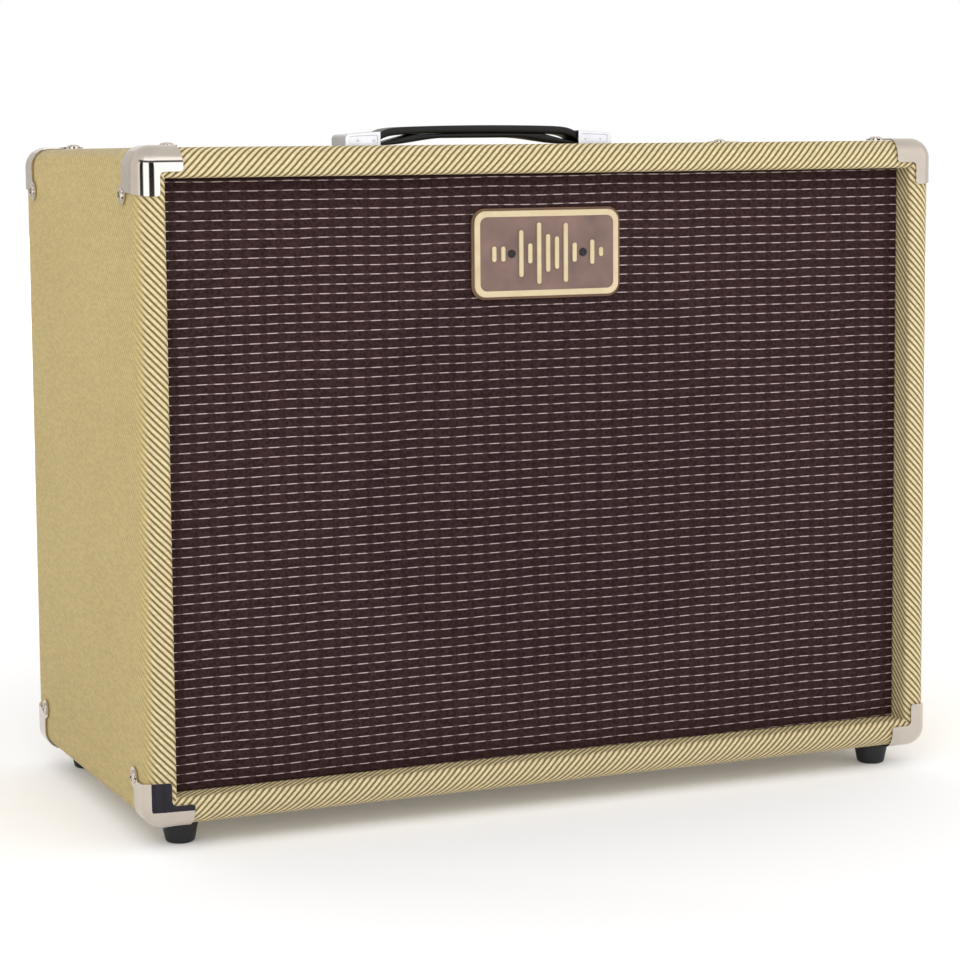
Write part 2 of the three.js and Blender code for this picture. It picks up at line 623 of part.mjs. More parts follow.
function electronics() {
  const group = new THREE.Group();
  group.add(chassis(), controlPanel(), controls(), circuitBoard(), powerInlet(), reverbTank());
  const powerSize = { stack: 32, bell: 17, width: 70, height: 64 };
  const outputSize = { stack: 24, bell: 13, width: 54, height: 46 };
  group.add(transformer("power_transformer", POWER_TRANSFORMER_X, powerSize));
  group.add(transformer("output_transformer", OUTPUT_TRANSFORMER_X, outputSize));
  const powerTube = { baseRadius: 15, base: 24, glassRadius: 13.5, glass: 62 };
  const preampTube = { baseRadius: 10.5, base: 8, glassRadius: 10.5, glass: 46 };
  POWER_TUBES.forEach((x, i) => group.add(valve(`power_tube_${i + 1}`, x, powerTube)));
  PREAMP_TUBES.forEach((x, i) => group.add(valve(`preamp_tube_${i + 1}`, x, preampTube)));
  group.add(speakerJack());
  return group;
}

// ---- Speaker ----
const BASKET_DEPTH = 72;
const BASKET_METAL = 2;

// A pressed frame: a flat rim on the baffle, a slope back to the magnet, and windows between its arms
function speakerFrame() {
  const hubFront = BASKET_DEPTH;
  const hubRear = hubFront + BASKET_METAL;
  const rimRear = GAP + BASKET_METAL;
  const outline = [
    [46, hubFront], [74, hubFront - BASKET_METAL], [138, 16], [140, GAP], [152.5, GAP], [152.5, rimRear],
    [142.5, rimRear], [140.6, 17], [75, hubRear], [46, hubRear], [46, hubFront],
  ];
  const windows = { count: 4, inner: 82, outer: 128, width: 92, front: 18 };
  const cutters = [];
  for (let i = 0; i < windows.count; i += 1) {
    const length = windows.outer - windows.inner;
    const cutter = new THREE.BoxGeometry(length, DEPTH, windows.width)
      .translate((windows.inner + windows.outer) / 2, BAFFLE_REAR + windows.front + DEPTH / 2, 0)
      .rotateY((i * 2 * Math.PI) / windows.count)
      .translate(0, 0, MIDDLE_Z);
    cutters.push(solidOf(cutter));
  }
  return meshOf("speaker_frame", turnedForSpeaker(outline).subtract(union(cutters)), BLACK_STEEL);
}

// Magnet, plates and pole piece, with a round slot for the voice coil
function speakerMagnet() {
  const front = BASKET_DEPTH + BASKET_METAL + GAP;
  const outline = [
    [0, front - 6], [20.5, front - 6], [20.5, front + 26], [24.5, front + 26], [24.5, front], [62, front],
    [62, front + 6], [73, front + 6], [73, front + 28], [62, front + 28], [60, front + 36], [0, front + 36],
  ];
  return meshOf("speaker_magnet", turnedForSpeaker(outline), BLACK_STEEL);
}

function movingSpeakerParts() {
  const group = new THREE.Group();
  const cone = [
    [23.1, 52], [60, 35], [112, 9], [118, 5.5], [126, 7], [133, 5.5], [133, 6.7], [126, 8.2], [118.5, 6.9],
    [112.8, 10.2], [60.6, 36.2], [23.1, 53.4], [23.1, 52],
  ];
  const coilEnd = BASKET_DEPTH + 20; // in the magnet's slot
  const coil = [[21.7, 47], [22.7, 47], [22.7, coilEnd], [21.7, coilEnd], [21.7, 47]];
  const dustCap = [[0, 33], [18, 37], [34, 45.2], [34, 46.2], [17.5, 38.2], [0, 34.2]];
  group.add(meshOf("speaker_cone", turnedForSpeaker(cone), PAPER));
  group.add(meshOf("voice_coil", turnedForSpeaker(coil), COPPER));
  group.add(meshOf("dust_cap", turnedForSpeaker(dustCap), PAPER));
  return group;
}

function speaker() {
  return new THREE.Group().add(speakerFrame(), speakerMagnet(), movingSpeakerParts());
}

const amplifier = new THREE.Group();
amplifier.add(cabinet(), cornerProtectors(), feet(), grille(), baffleBoard(), back(), handle());
amplifier.add(electronics(), speaker());

export default amplifier;
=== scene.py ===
import json
import math

import bmesh
import bpy
from mathutils import Matrix, Vector


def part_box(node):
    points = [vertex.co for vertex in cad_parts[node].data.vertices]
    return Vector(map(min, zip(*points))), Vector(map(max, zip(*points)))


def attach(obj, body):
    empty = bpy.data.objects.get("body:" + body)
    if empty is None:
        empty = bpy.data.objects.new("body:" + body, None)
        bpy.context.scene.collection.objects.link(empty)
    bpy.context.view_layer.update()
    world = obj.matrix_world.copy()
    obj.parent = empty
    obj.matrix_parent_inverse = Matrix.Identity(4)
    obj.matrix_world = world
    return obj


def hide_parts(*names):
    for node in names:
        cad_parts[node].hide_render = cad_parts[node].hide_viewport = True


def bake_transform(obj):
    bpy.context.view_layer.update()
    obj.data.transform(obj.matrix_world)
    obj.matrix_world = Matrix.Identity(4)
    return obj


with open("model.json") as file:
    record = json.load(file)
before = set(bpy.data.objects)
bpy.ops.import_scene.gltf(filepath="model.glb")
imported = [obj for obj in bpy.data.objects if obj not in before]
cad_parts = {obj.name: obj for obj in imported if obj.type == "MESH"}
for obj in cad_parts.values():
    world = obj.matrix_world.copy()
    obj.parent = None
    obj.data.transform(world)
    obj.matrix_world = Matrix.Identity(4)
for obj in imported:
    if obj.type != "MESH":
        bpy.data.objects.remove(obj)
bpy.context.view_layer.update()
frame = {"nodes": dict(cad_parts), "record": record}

# ---- Sizes, in metres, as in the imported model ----
MM = 0.001
ROOT = "cabinet"

EDGE = 12 * MM  # radius of the cabinet's outer edges
LIP_EDGE = 3 * MM  # radius of the inner edges round the grille
REAR_EDGE = 2 * MM
WINDOW_EDGE = 3 * MM
PLATING_GAP = 0.3 * MM  # between a protector and the cabinet
PLATING = 1.2 * MM
WELD = 1e-6  # points closer than this are one

SIDES = ((-1, "left"), (1, "right"))
DEPTHS = ((-1, "front"), (1, "rear"))
LEVELS = ((1, "top"), (-1, "bottom"))


def box_of(nodes):
    """Lowest and highest corner of several CAD nodes together."""
    lows, highs = zip(*[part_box(node) for node in nodes])
    return Vector(map(min, *lows)), Vector(map(max, *highs))


def middle(node):
    """The centre of a CAD node's box."""
    low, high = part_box(node)
    return (low + high) / 2


PANELS = ("top_panel", "bottom_panel", "left_side_panel", "right_side_panel")
CABINET_LOW, CABINET_HIGH = box_of(PANELS)
HALF_WIDTH = CABINET_HIGH.x
FRONT = CABINET_LOW.y
REAR = CABINET_HIGH.y
BASE = CABINET_LOW.z
TOP = CABINET_HIGH.z
HALF_HEIGHT = (TOP - BASE) / 2
CENTRE_Z = (TOP + BASE) / 2
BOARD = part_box("bottom_panel")[1].z - BASE
CLOTH_LOW, CLOTH_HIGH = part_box("grille_cloth")
CLOTH_FRONT = CLOTH_LOW.y
PANEL_LOW, PANEL_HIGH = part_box("control_panel")
SPEAKER_CENTRE = middle("speaker_frame")
BAFFLE_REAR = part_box("baffle_board")[1].y

# The window in the top, with room round the control panel at its ends, front and rear
WINDOW_HALF = PANEL_HIGH.x + 8.2 * MM
WINDOW_FRONT = PANEL_LOW.y - 2 * MM
WINDOW_REAR = PANEL_HIGH.y + 4 * MM


# ---- Camera ----
def add_camera():
    """A long lens a little left of the cabinet, level with its top, turned towards its front."""
    camera = bpy.data.cameras.new("camera")
    camera.sensor_width = 36  # mm, as the lens
    camera.lens = 96.72
    camera.shift_x = 0.08125
    camera.shift_y = -0.0646
    camera.clip_start = 0.05
    camera.clip_end = 100
    yaw = math.radians(-22.231)
    pitch = math.radians(-5.871)
    roll = math.radians(-0.597)
    forward = Vector((-math.sin(yaw) * math.cos(pitch), math.cos(yaw) * math.cos(pitch), math.sin(pitch)))
    right = Vector((math.cos(yaw), math.sin(yaw), 0))
    up = right.cross(forward)
    turned_right = math.cos(roll) * right + math.sin(roll) * up
    turned_up = math.cos(roll) * up - math.sin(roll) * right
    holder = bpy.data.objects.new("camera", camera)
    bpy.context.scene.collection.objects.link(holder)
    left, before_front, above_base = 0.71678, 1.48369, 0.41026
    place = Matrix((turned_right, turned_up, -forward)).transposed().to_4x4()
    place.translation = Vector((-left, FRONT - before_front, BASE + above_base))
    holder.matrix_world = place
    bpy.context.scene.camera = holder


# ---- Materials ----
class Nodes:
    """Short ways to add and join the nodes of a tree."""

    def __init__(self, tree):
        self.tree = tree

    def put(self, socket, value):
        """Sets a socket to a value, or joins it to another node's output."""
        if isinstance(value, bpy.types.NodeSocket):
            self.tree.links.new(value, socket)
        else:
            socket.default_value = value

    def node(self, kind, output=0, inputs=None, **settings):
        """Adds a node and returns one of its outputs."""
        node = self.tree.nodes.new(kind)
        for key, value in settings.items():
            setattr(node, key, value)
        for key, value in (inputs or {}).items():
            self.put(node.inputs[key], value)
        return node.outputs[output]

    def math(self, operation, a, b=0.0, c=0.0):
        return self.node("ShaderNodeMath", inputs={0: a, 1: b, 2: c}, operation=operation)

    def plus(self, a, b):
        return self.math("ADD", a, b)

    def minus(self, a, b):
        return self.math("SUBTRACT", a, b)

    def times(self, a, b):
        return self.math("MULTIPLY", a, b)

    def from_middle(self, value, period):
        """How far a value is from the middle of its period, as a share of the period."""
        phase = self.math("FRACT", self.math("DIVIDE", value, period))
        return self.math("ABSOLUTE", self.minus(phase, 0.5))

    def wave(self, value, period):
        """A sine with a period."""
        return self.math("SINE", self.times(value, 2 * math.pi / period))

    def shaded(self, colour, shade):
        """A colour made darker or lighter by a factor."""
        grey = self.node("ShaderNodeCombineColor", inputs={0: shade, 1: shade, 2: shade})
        return self.mix(1.0, colour, grey, "MULTIPLY")

    def axes(self, vector):
        """The x, y and z of a vector."""
        node = self.tree.nodes.new("ShaderNodeSeparateXYZ")
        self.tree.links.new(vector, node.inputs[0])
        return node.outputs["X"], node.outputs["Y"], node.outputs["Z"]

    def noise(self, vector, scale, detail=2.0, roughness=0.5):
        inputs = {"Vector": vector, "Scale": scale, "Detail": detail, "Roughness": roughness}
        return self.node("ShaderNodeTexNoise", output="Fac", inputs=inputs)

    def stretched(self, vector, x, y, z):
        """A vector scaled along each axis, for a texture with a grain."""
        return self.node("ShaderNodeMapping", inputs={"Vector": vector, "Scale": (x, y, z)})

    def range(self, value, low, high, new_low=0.0, new_high=1.0, smooth=False):
        """Takes a value from one range to another and stops it at the ends."""
        inputs = {"Value": value, "From Min": low, "From Max": high, "To Min": new_low, "To Max": new_high}
        kind = "SMOOTHSTEP" if smooth else "LINEAR"
        return self.node("ShaderNodeMapRange", inputs=inputs, interpolation_type=kind)

    def mix(self, factor, a, b, blend="MIX"):
        node = self.tree.nodes.new("ShaderNodeMix")
        node.data_type = "RGBA"
        node.blend_type = blend
        self.put(node.inputs["Factor"], factor)
        self.put(node.inputs["A"], a)
        self.put(node.inputs["B"], b)
        return node.outputs["Result"]


class Look(Nodes):
    """A node material on one Principled shader."""

    def __init__(self, name, **values):
        self.material = bpy.data.materials.new(name)
        self.material.use_nodes = True
        super().__init__(self.material.node_tree)
        self.shader = self.tree.nodes["Principled BSDF"]
        for socket, value in values.items():
            self.shader.inputs[socket.replace("_", " ")].default_value = value

    def object_place(self):
        """The place on the piece itself, which moves with it."""
        return self.node("ShaderNodeTexCoord", output="Object")

    def colour(self, value):
        self.put(self.shader.inputs["Base Color"], value)

    def rough(self, value):
        self.put(self.shader.inputs["Roughness"], value)

    def bump(self, height, distance, strength=1.0):
        inputs = {"Height": height, "Distance": distance, "Strength": strength}
        self.put(self.shader.inputs["Normal"], self.node("ShaderNodeBump", inputs=inputs))


def rgb(red, green, blue):
    """A colour given as it looks on a screen, 0 to 255, in the linear values that shaders use."""
    def linear(c):
        c /= 255
        return c / 12.92 if c <= 0.04045 else ((c + 0.055) / 1.055) ** 2.4

    return (linear(red), linear(green), linear(blue), 1.0)


STRIPE = 4.5 * MM  # along the cloth's edge, from one diagonal stripe to the next
THREAD = 0.55 * MM
RUBBED_FROM = HALF_WIDTH - 6 * MM  # where the cloth goes over to the rubbed tone of the sides
RUBBED_TO = HALF_WIDTH - 0.5 * MM


def tweed():
    """Lacquered twill: cream stripes over brown, at 45 degrees to the cloth's own edges.

    The stripes are rubbed and lacquered almost to one tone on the cabinet's two sides.
    """
    look = Look("tweed", Roughness=0.62, Specular_IOR_Level=0.3)
    cloth = look.node("ShaderNodeUVMap", uv_map="Cloth")
    place = look.object_place()
    u, v, _ = look.axes(cloth)
    wander = look.noise(look.stretched(cloth, 90, 90, 1), 1.0, 2)
    wobble = look.times(look.minus(wander, 0.5), 0.9 * MM)
    along = look.plus(look.minus(u, v), wobble)
    stripe = look.range(look.from_middle(along, STRIPE), 0.16, 0.40, smooth=True)
    weave = look.times(look.wave(u, THREAD), look.wave(v, THREAD))
    patch = look.noise(cloth, 9.0, 3)
    cream = look.mix(patch, rgb(227, 212, 171), rgb(221, 202, 158))
    brown = look.mix(patch, rgb(126, 108, 62), rgb(112, 94, 50))
    even = look.mix(patch, rgb(195, 175, 116), rgb(186, 165, 106))
    outwards = look.math("ABSOLUTE", look.axes(place)[0])
    rubbed = look.range(outwards, RUBBED_FROM, RUBBED_TO, 0.0, 0.84, smooth=True)
    base = look.mix(rubbed, look.mix(stripe, cream, brown), even)
    grain = look.noise(look.stretched(cloth, 1400, 1400, 1), 1.0, 1)
    threads = look.range(look.math("MULTIPLY_ADD", weave, 0.25, grain), 0.2, 0.95, 0.84, 1.08)
    sand = look.noise(look.stretched(place, 320, 140, 520), 1.0, 2, 0.6)
    look.colour(look.shaded(base, look.times(threads, look.range(sand, 0.35, 0.65, 0.91, 1.09))))
    look.rough(look.range(stripe, 0.0, 1.0, 0.55, 0.75))
    look.bump(look.minus(look.times(weave, 0.35), stripe), 0.25 * MM, 0.7)
    return look.material


def plywood():
    """Bare birch plywood with long grain."""
    look = Look("plywood", Roughness=0.6)
    place = look.object_place()
    grain = look.noise(look.stretched(place, 5, 60, 60), 3.0, 6, 0.6)
    fine = look.noise(look.stretched(place, 30, 700, 700), 2.0, 3)
    base = look.mix(grain, rgb(196, 160, 112), rgb(160, 120, 76))
    look.colour(look.mix(look.range(fine, 0.45, 0.75), base, rgb(120, 86, 52)))
    look.rough(look.range(grain, 0.3, 0.7, 0.5, 0.72))
    look.bump(fine, 0.15 * MM, 0.4)
    return look.material


ROW = 5.87 * MM  # between the grille cloth's rows of dashes
ROW_START = 2.05 * MM
ROW_TILT = 0.0033  # the rows climb this much to the right
DASH = 11.5 * MM  # from one dash to the next
CLOTH_THREAD = 0.73 * MM
PAINTED_HOLE_SHADE = (134 * MM, 140 * MM)  # painted shade over the speaker's hole, standing for the dark hole seen through the cloth, with a soft edge
PAINTED_RING_SHADE = 127 * MM  # and a faint painted ring of shade inside it
RIM_WIDTH = 3 * MM


def painted_hole_shade(look, x, z):
    """Painted shade: how much darker the cloth is painted over the speaker's hole, and in a faint ring inside
    it.
    """
    across = look.minus(x, SPEAKER_CENTRE.x)
    upward = look.minus(z, SPEAKER_CENTRE.z)
    radius = look.math("SQRT", look.plus(look.math("POWER", across, 2), look.math("POWER", upward, 2)))
    hole = look.range(radius, *PAINTED_HOLE_SHADE, 0.90, 1.0, smooth=True)
    from_ring = look.math("ABSOLUTE", look.minus(radius, PAINTED_RING_SHADE))
    return look.times(hole, look.range(from_ring, 0.0, RIM_WIDTH, 0.93, 1.0, smooth=True))


def grille_weave():
    """Maroon cloth with rows of short silver-pink floats, and painted shade that makes it a little darker
    over the speaker's hole.
    """
    look = Look("grille_weave", Roughness=0.85, Specular_IOR_Level=0.08)
    place = look.object_place()
    x, _, z = look.axes(place)
    drift = look.minus(look.noise(look.stretched(place, 14, 1, 10), 1.0, 2), 0.5)
    level = look.minus(z, look.math("MULTIPLY_ADD", x, ROW_TILT, ROW_START))
    z_drawn = look.plus(level, look.times(drift, 2.4 * MM))
    x_drawn = look.plus(x, look.times(drift, 1.6 * MM))
    row = look.times(look.from_middle(z_drawn, ROW), ROW / MM)
    dash = look.times(look.from_middle(x_drawn, DASH), DASH / MM)
    taper = look.range(dash, 2.5, 4.2, 0.28, 0.15, smooth=True)
    thread = look.range(look.minus(taper, row), -0.1, 0.1, smooth=True)
    bright = look.range(dash, 2.8, 4.4, 1.0, 0.36, smooth=True)
    fleck = look.noise(look.stretched(place, 900, 1, 300), 1.0, 2)
    silver = look.mix(fleck, rgb(170, 148, 146), rgb(232, 214, 210))
    line = look.mix(bright, rgb(84, 60, 62), silver)
    weave = look.times(look.wave(x_drawn, CLOTH_THREAD), look.wave(z_drawn, CLOTH_THREAD))
    cloudy = look.noise(place, 520, 3, 0.7)
    ground = look.mix(look.range(weave, -1, 1), rgb(44, 28, 29), rgb(78, 57, 56))
    ground = look.mix(look.range(cloudy, 0.38, 0.62, 0.0, 0.85), ground, rgb(38, 22, 23))
    # the weave's tone times the painted shade over the speaker's hole
    tone = look.times(look.range(weave, -1, 1, 0.82, 1.0), painted_hole_shade(look, x, z))
    look.colour(look.shaded(look.mix(thread, ground, line), tone))
    look.rough(look.range(look.times(thread, bright), 0.0, 1.0, 0.88, 0.38))
    look.bump(look.plus(thread, look.times(weave, 0.3)), 0.3 * MM, 0.8)
    return look.material


def plated(name, colour, roughness, scratch=0.05):
    """Bright plating with a faint haze and fine wiping marks."""
    look = Look(name, Metallic=1.0)
    place = look.object_place()
    haze = look.noise(place, 60, 3)
    wiped = look.noise(look.stretched(place, 300, 300, 2500), 1.0, 2)
    dull = rgb(*[c * 0.95 for c in colour])
    look.colour(look.mix(look.range(haze, 0.35, 0.75), rgb(*colour), dull))
    marks = look.math("MULTIPLY_ADD", wiped, 0.4, haze)
    look.rough(look.range(marks, 0.4, 1.1, roughness, roughness + scratch))
    look.bump(haze, 0.05 * MM, 0.1)
    return look.material


def brushed(name, colour, roughness, mottled=0.1):
    """Sheet metal with a fine directional grain, and mottled where it is zinc-plated."""
    look = Look(name, Metallic=1.0, Anisotropic=0.3)
    place = look.object_place()
    grain = look.noise(look.stretched(place, 40, 2500, 2500), 1.0, 3)
    spangle = look.noise(place, 140, 2)
    dull = rgb(*[c * (1 - mottled) for c in colour])
    look.colour(look.mix(look.range(spangle, 0.4, 0.6), rgb(*colour), dull))
    look.rough(look.range(grain, 0.3, 0.7, roughness - 0.06, roughness + 0.08))
    look.bump(grain, 0.02 * MM, 0.2)
    return look.material


def painted(name, colour, roughness):
    """Satin paint over pressed steel, with a light orange peel and rubbed patches."""
    look = Look(name, Roughness=roughness)
    place = look.object_place()
    peel = look.noise(place, 900, 2)
    rubbed = look.noise(place, 35, 4)
    pale = tuple(min(255, c * 1.6 + 8) for c in colour)
    look.colour(look.mix(look.range(rubbed, 0.45, 0.8), rgb(*colour), rgb(*pale)))
    look.rough(look.range(rubbed, 0.3, 0.7, roughness - 0.05, roughness + 0.1))
    look.bump(peel, 0.05 * MM, 0.5)
    return look.material


def moulded(name, colour, roughness, grain=500.0, depth=0.04):
    """Moulded plastic or rubber with a fine surface grain."""
    look = Look(name, Roughness=roughness)
    place = look.object_place()
    pits = look.noise(place, grain, 3)
    cloud = look.noise(place, 40, 3)
    pale = tuple(min(255, c * 1.25 + 5) for c in colour)
    look.colour(look.mix(look.range(cloud, 0.35, 0.75), rgb(*colour), rgb(*pale)))
    look.rough(look.range(cloud, 0.3, 0.7, roughness - 0.06, roughness + 0.06))
    look.bump(pits, depth * MM, 0.5)
    return look.material


def strap_skin():
    """Black embossed strap skin, semi-gloss, with creases across it."""
    look = Look("strap_skin", Roughness=0.38, Specular_IOR_Level=0.3)
    place = look.object_place()
    inputs = {"Vector": place, "Scale": 620.0}
    cells = look.node("ShaderNodeTexVoronoi", output="Distance", inputs=inputs, feature="DISTANCE_TO_EDGE")
    crease = look.noise(look.stretched(place, 260, 18, 18), 1.0, 2)
    cloud = look.noise(place, 50, 3)
    look.colour(look.mix(look.range(cloud, 0.4, 0.7), rgb(14, 14, 15), rgb(28, 27, 28)))
    look.rough(look.range(cloud, 0.3, 0.7, 0.3, 0.48))
    height = look.plus(look.math("MINIMUM", cells, 0.12), look.times(crease, 0.12))
    look.bump(height, 0.5 * MM, 0.5)
    return look.material


def paper():
    """Pressed paper of the cone, with felted fibres."""
    look = Look("cone_paper", Roughness=0.9)
    place = look.object_place()
    fibres = look.noise(look.stretched(place, 300, 900, 300), 1.0, 5, 0.7)
    look.colour(look.mix(look.range(fibres, 0.3, 0.7), rgb(34, 32, 31), rgb(64, 60, 56)))
    look.rough(look.range(fibres, 0.3, 0.7, 0.82, 0.95))
    look.bump(fibres, 0.2 * MM, 0.6)
    return look.material


def valve_glass():
    """Thin blown glass with slight waves."""
    look = Look("valve_glass", Roughness=0.04, Transmission_Weight=1.0, IOR=1.46)
    waves = look.noise(look.object_place(), 60, 1)
    look.colour(look.mix(look.range(waves, 0.3, 0.7), rgb(246, 248, 248), rgb(236, 238, 238)))
    look.bump(waves, 0.02 * MM, 0.1)
    return look.material


def lamp_glass():
    """Red cut glass, lit faintly from inside by its own colour."""
    look = Look("lamp_glass", Roughness=0.08, Coat_Weight=0.6, Emission_Strength=0.25)
    look.shader.inputs["Emission Color"].default_value = rgb(200, 16, 10)
    depth = look.noise(look.object_place(), 300, 2)
    look.colour(look.mix(depth, rgb(150, 12, 10), rgb(205, 30, 22)))
    look.rough(look.range(depth, 0.3, 0.7, 0.06, 0.14))
    return look.material


def badge_cream():
    """Cream plastic, a little mottled with age."""
    look = Look("badge_cream", Roughness=0.45)
    place = look.object_place()
    cloud = look.noise(place, 90, 3)
    look.colour(look.mix(look.range(cloud, 0.35, 0.7), rgb(204, 187, 150), rgb(194, 175, 138)))
    look.rough(look.range(cloud, 0.3, 0.7, 0.4, 0.55))
    look.bump(look.noise(place, 1200, 2), 0.03 * MM, 0.4)
    return look.material


SHEET = 0.7 * MM  # one sheet of a transformer's core


def laminations():
    """Varnished core sheets on edge, as fine dark lines along the stack."""
    look = Look("laminations", Metallic=0.7)
    place = look.object_place()
    x, _, _ = look.axes(place)
    gap = look.range(look.from_middle(x, SHEET), 0.36, 0.46)
    cloud = look.noise(place, 80, 3)
    steel = look.mix(cloud, rgb(74, 72, 70), rgb(104, 98, 92))
    look.colour(look.mix(gap, steel, rgb(24, 22, 20)))
    look.rough(look.range(cloud, 0.3, 0.7, 0.35, 0.6))
    look.bump(gap, 0.2 * MM, 0.6)
    return look.material


def circuit_fibre():
    """Brown fibre board with lacquered copper tracks."""
    look = Look("circuit_fibre", Roughness=0.4)
    place = look.object_place()
    _, y, _ = look.axes(place)
    lanes = look.math("FRACT", look.times(y, 180))
    breaks = look.noise(look.stretched(place, 60, 180, 1), 1.0, 0)
    track = look.times(look.range(lanes, 0.45, 0.5), look.range(breaks, 0.42, 0.46))
    look.colour(look.mix(track, rgb(96, 72, 38), rgb(176, 118, 66)))
    look.rough(look.range(track, 0, 1, 0.55, 0.3))
    look.bump(track, 0.05 * MM, 0.5)
    return look.material


LOOKS = {
    "tweed": tweed(),
    "wood": plywood(),
    "grille": grille_weave(),
    "nickel": plated("nickel", (202, 193, 182), 0.05, 0.03),
    "chrome": plated("chrome", (232, 232, 232), 0.07, 0.03),
    "satin_nickel": plated("satin_nickel", (214, 214, 216), 0.24, 0.08),
    "steel": brushed("zinc_steel", (186, 188, 190), 0.36),
    "black_steel": painted("black_steel", (16, 16, 18), 0.42),
    "black_screw": painted("black_screw", (20, 19, 20), 0.35),
    "rubber": moulded("foot_rubber", (11, 12, 14), 0.6),
    "strap": strap_skin(),
    "bakelite": moulded("bakelite", (24, 19, 17), 0.28, 300, 0.02),
    "tube_base": moulded("tube_base", (34, 22, 18), 0.35, 400, 0.03),
    "socket": moulded("socket_plastic", (18, 18, 18), 0.45, 700, 0.05),
    "white_print": moulded("white_print", (226, 224, 214), 0.5, 900, 0.01),
    "black_print": moulded("black_print", (22, 22, 24), 0.5, 900, 0.01),
    "badge_cream": badge_cream(),
    "badge_brown": moulded("badge_brown", (100, 78, 70), 0.5, 700, 0.03),
    "badge_edge": moulded("badge_edge", (88, 62, 42), 0.5, 700, 0.03),
    "paper": paper(),
    "glass": valve_glass(),
    "getter": plated("getter", (120, 118, 116), 0.18, 0.2),
    "plate_metal": painted("plate_metal", (112, 112, 114), 0.55),
    "lamp": lamp_glass(),
    "board": circuit_fibre(),
    "panel": brushed("panel_plate", (222, 222, 224), 0.2, 0.02),
    "cap_metal": plated("cap_metal", (190, 189, 191), 0.1, 0.06),
    "laminations": laminations(),
    "ferrite": moulded("ferrite", (44, 44, 46), 0.55, 300, 0.06),
    "lamp_red": moulded("socket_red", (168, 28, 24), 0.4, 700, 0.03),
    "capacitor": moulded("capacitor_skin", (196, 120, 34), 0.35, 300, 0.03),
    "resistor": moulded("resistor_skin", (150, 112, 70), 0.5, 300, 0.03),
    "copper": plated("enamelled_copper", (190, 112, 62), 0.3, 0.1),
    "gasket": moulded("gasket_cork", (120, 92, 62), 0.85, 260, 0.3),
}


# ---- Mesh helpers ----
def add_object(name, mesh, body=ROOT, looks=(), smooth=35.0, place=None):
    """Links a mesh as a piece that rides on a body, smooth but for edges sharper than the angle."""
    if not mesh.materials:
        for look in looks:
            mesh.materials.append(LOOKS[look])
    piece = bpy.data.objects.new(name, mesh)
    bpy.context.scene.collection.objects.link(piece)
    if smooth:
        for polygon in mesh.polygons:
            polygon.use_smooth = True
        mesh.set_sharp_from_angle(angle=math.radians(smooth))
    if place:
        piece.matrix_world = place
    if body:
        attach(piece, body)
    return piece


def turned_towards(direction, place):
    """A matrix that takes local +Z to a direction, at a place."""
    matrix = Vector(direction).to_track_quat("Z", "Y").to_matrix().to_4x4()
    matrix.translation = Vector(place)
    return matrix


def opened(meshes):
    """One bmesh that holds meshes."""
    bm = bmesh.new()
    for mesh in meshes:
        bm.from_mesh(mesh)
    return bm


def bare_mesh(name, bm):
    """A mesh from a bmesh as it is."""
    mesh = bpy.data.meshes.new(name)
    bm.to_mesh(mesh)
    bm.free()
    return mesh


def mesh_from(name, bm):
    """A mesh from a bmesh, welded and facing outwards."""
    bmesh.ops.remove_doubles(bm, verts=bm.verts, dist=WELD)
    bmesh.ops.dissolve_degenerate(bm, dist=WELD, edges=bm.edges)
    bmesh.ops.recalc_face_normals(bm, faces=bm.faces)
    return bare_mesh(name, bm)


def rolled(bm, rings, closed=True):
    """Faces between rings of as many points each, capped at both ends if closed."""
    for first, second in zip(rings, rings[1:]):
        for k in range(len(first)):
            m = (k + 1) % len(first)
            bm.faces.new((first[k], first[m], second[m], second[k]))
    if closed:
        bm.faces.new(rings[0])
        bm.faces.new(rings[-1])


def along_axis(axis, a, b, level):
    """A point at a level along an axis, with the other two coordinates in order."""
    return Vector({"Z": (a, b, level), "Y": (a, level, b), "X": (level, a, b)}[axis])


def circle_point(radius, angle):
    """A point on a circle, with the angle in degrees."""
    return radius * math.cos(math.radians(angle)), radius * math.sin(math.radians(angle))


def mm_points(points):
    """Points given in millimetres."""
    return [tuple(c * MM for c in point) for point in points]


def bevelled(piece, width, segments=2, angle=30.0):
    """Rounds a piece's sharp edges with a modifier, which leaves its own mesh alone."""
    modifier = piece.modifiers.new("rounded_edges", "BEVEL")
    modifier.width = width
    modifier.segments = segments
    modifier.limit_method = "ANGLE"
    modifier.angle_limit = math.radians(angle)
    return piece


def filleted(corners, steps=5):
    """An outline from (x, y, radius) corners, with each corner rounded to its radius."""
    outline = []
    count = len(corners)
    for i, (x, y, radius) in enumerate(corners):
        here = Vector((x, y))
        if radius <= 0:
            outline.append(here)
            continue
        before = (Vector(corners[i - 1][:2]) - here).normalized()
        after = (Vector(corners[(i + 1) % count][:2]) - here).normalized()
        half = before.angle(after) / 2
        reach = radius / math.tan(half)
        centre = here + (before + after).normalized() * (radius / math.sin(half))
        start = here + before * reach - centre
        end = here + after * reach - centre
        sweep = start.angle_signed(end)
        for k in range(steps + 1):
            turn = -sweep * k / steps
            rotated = Vector((
                start.x * math.cos(turn) - start.y * math.sin(turn),
                start.x * math.sin(turn) + start.y * math.cos(turn),
            ))
            outline.append(centre + rotated)
    return outline


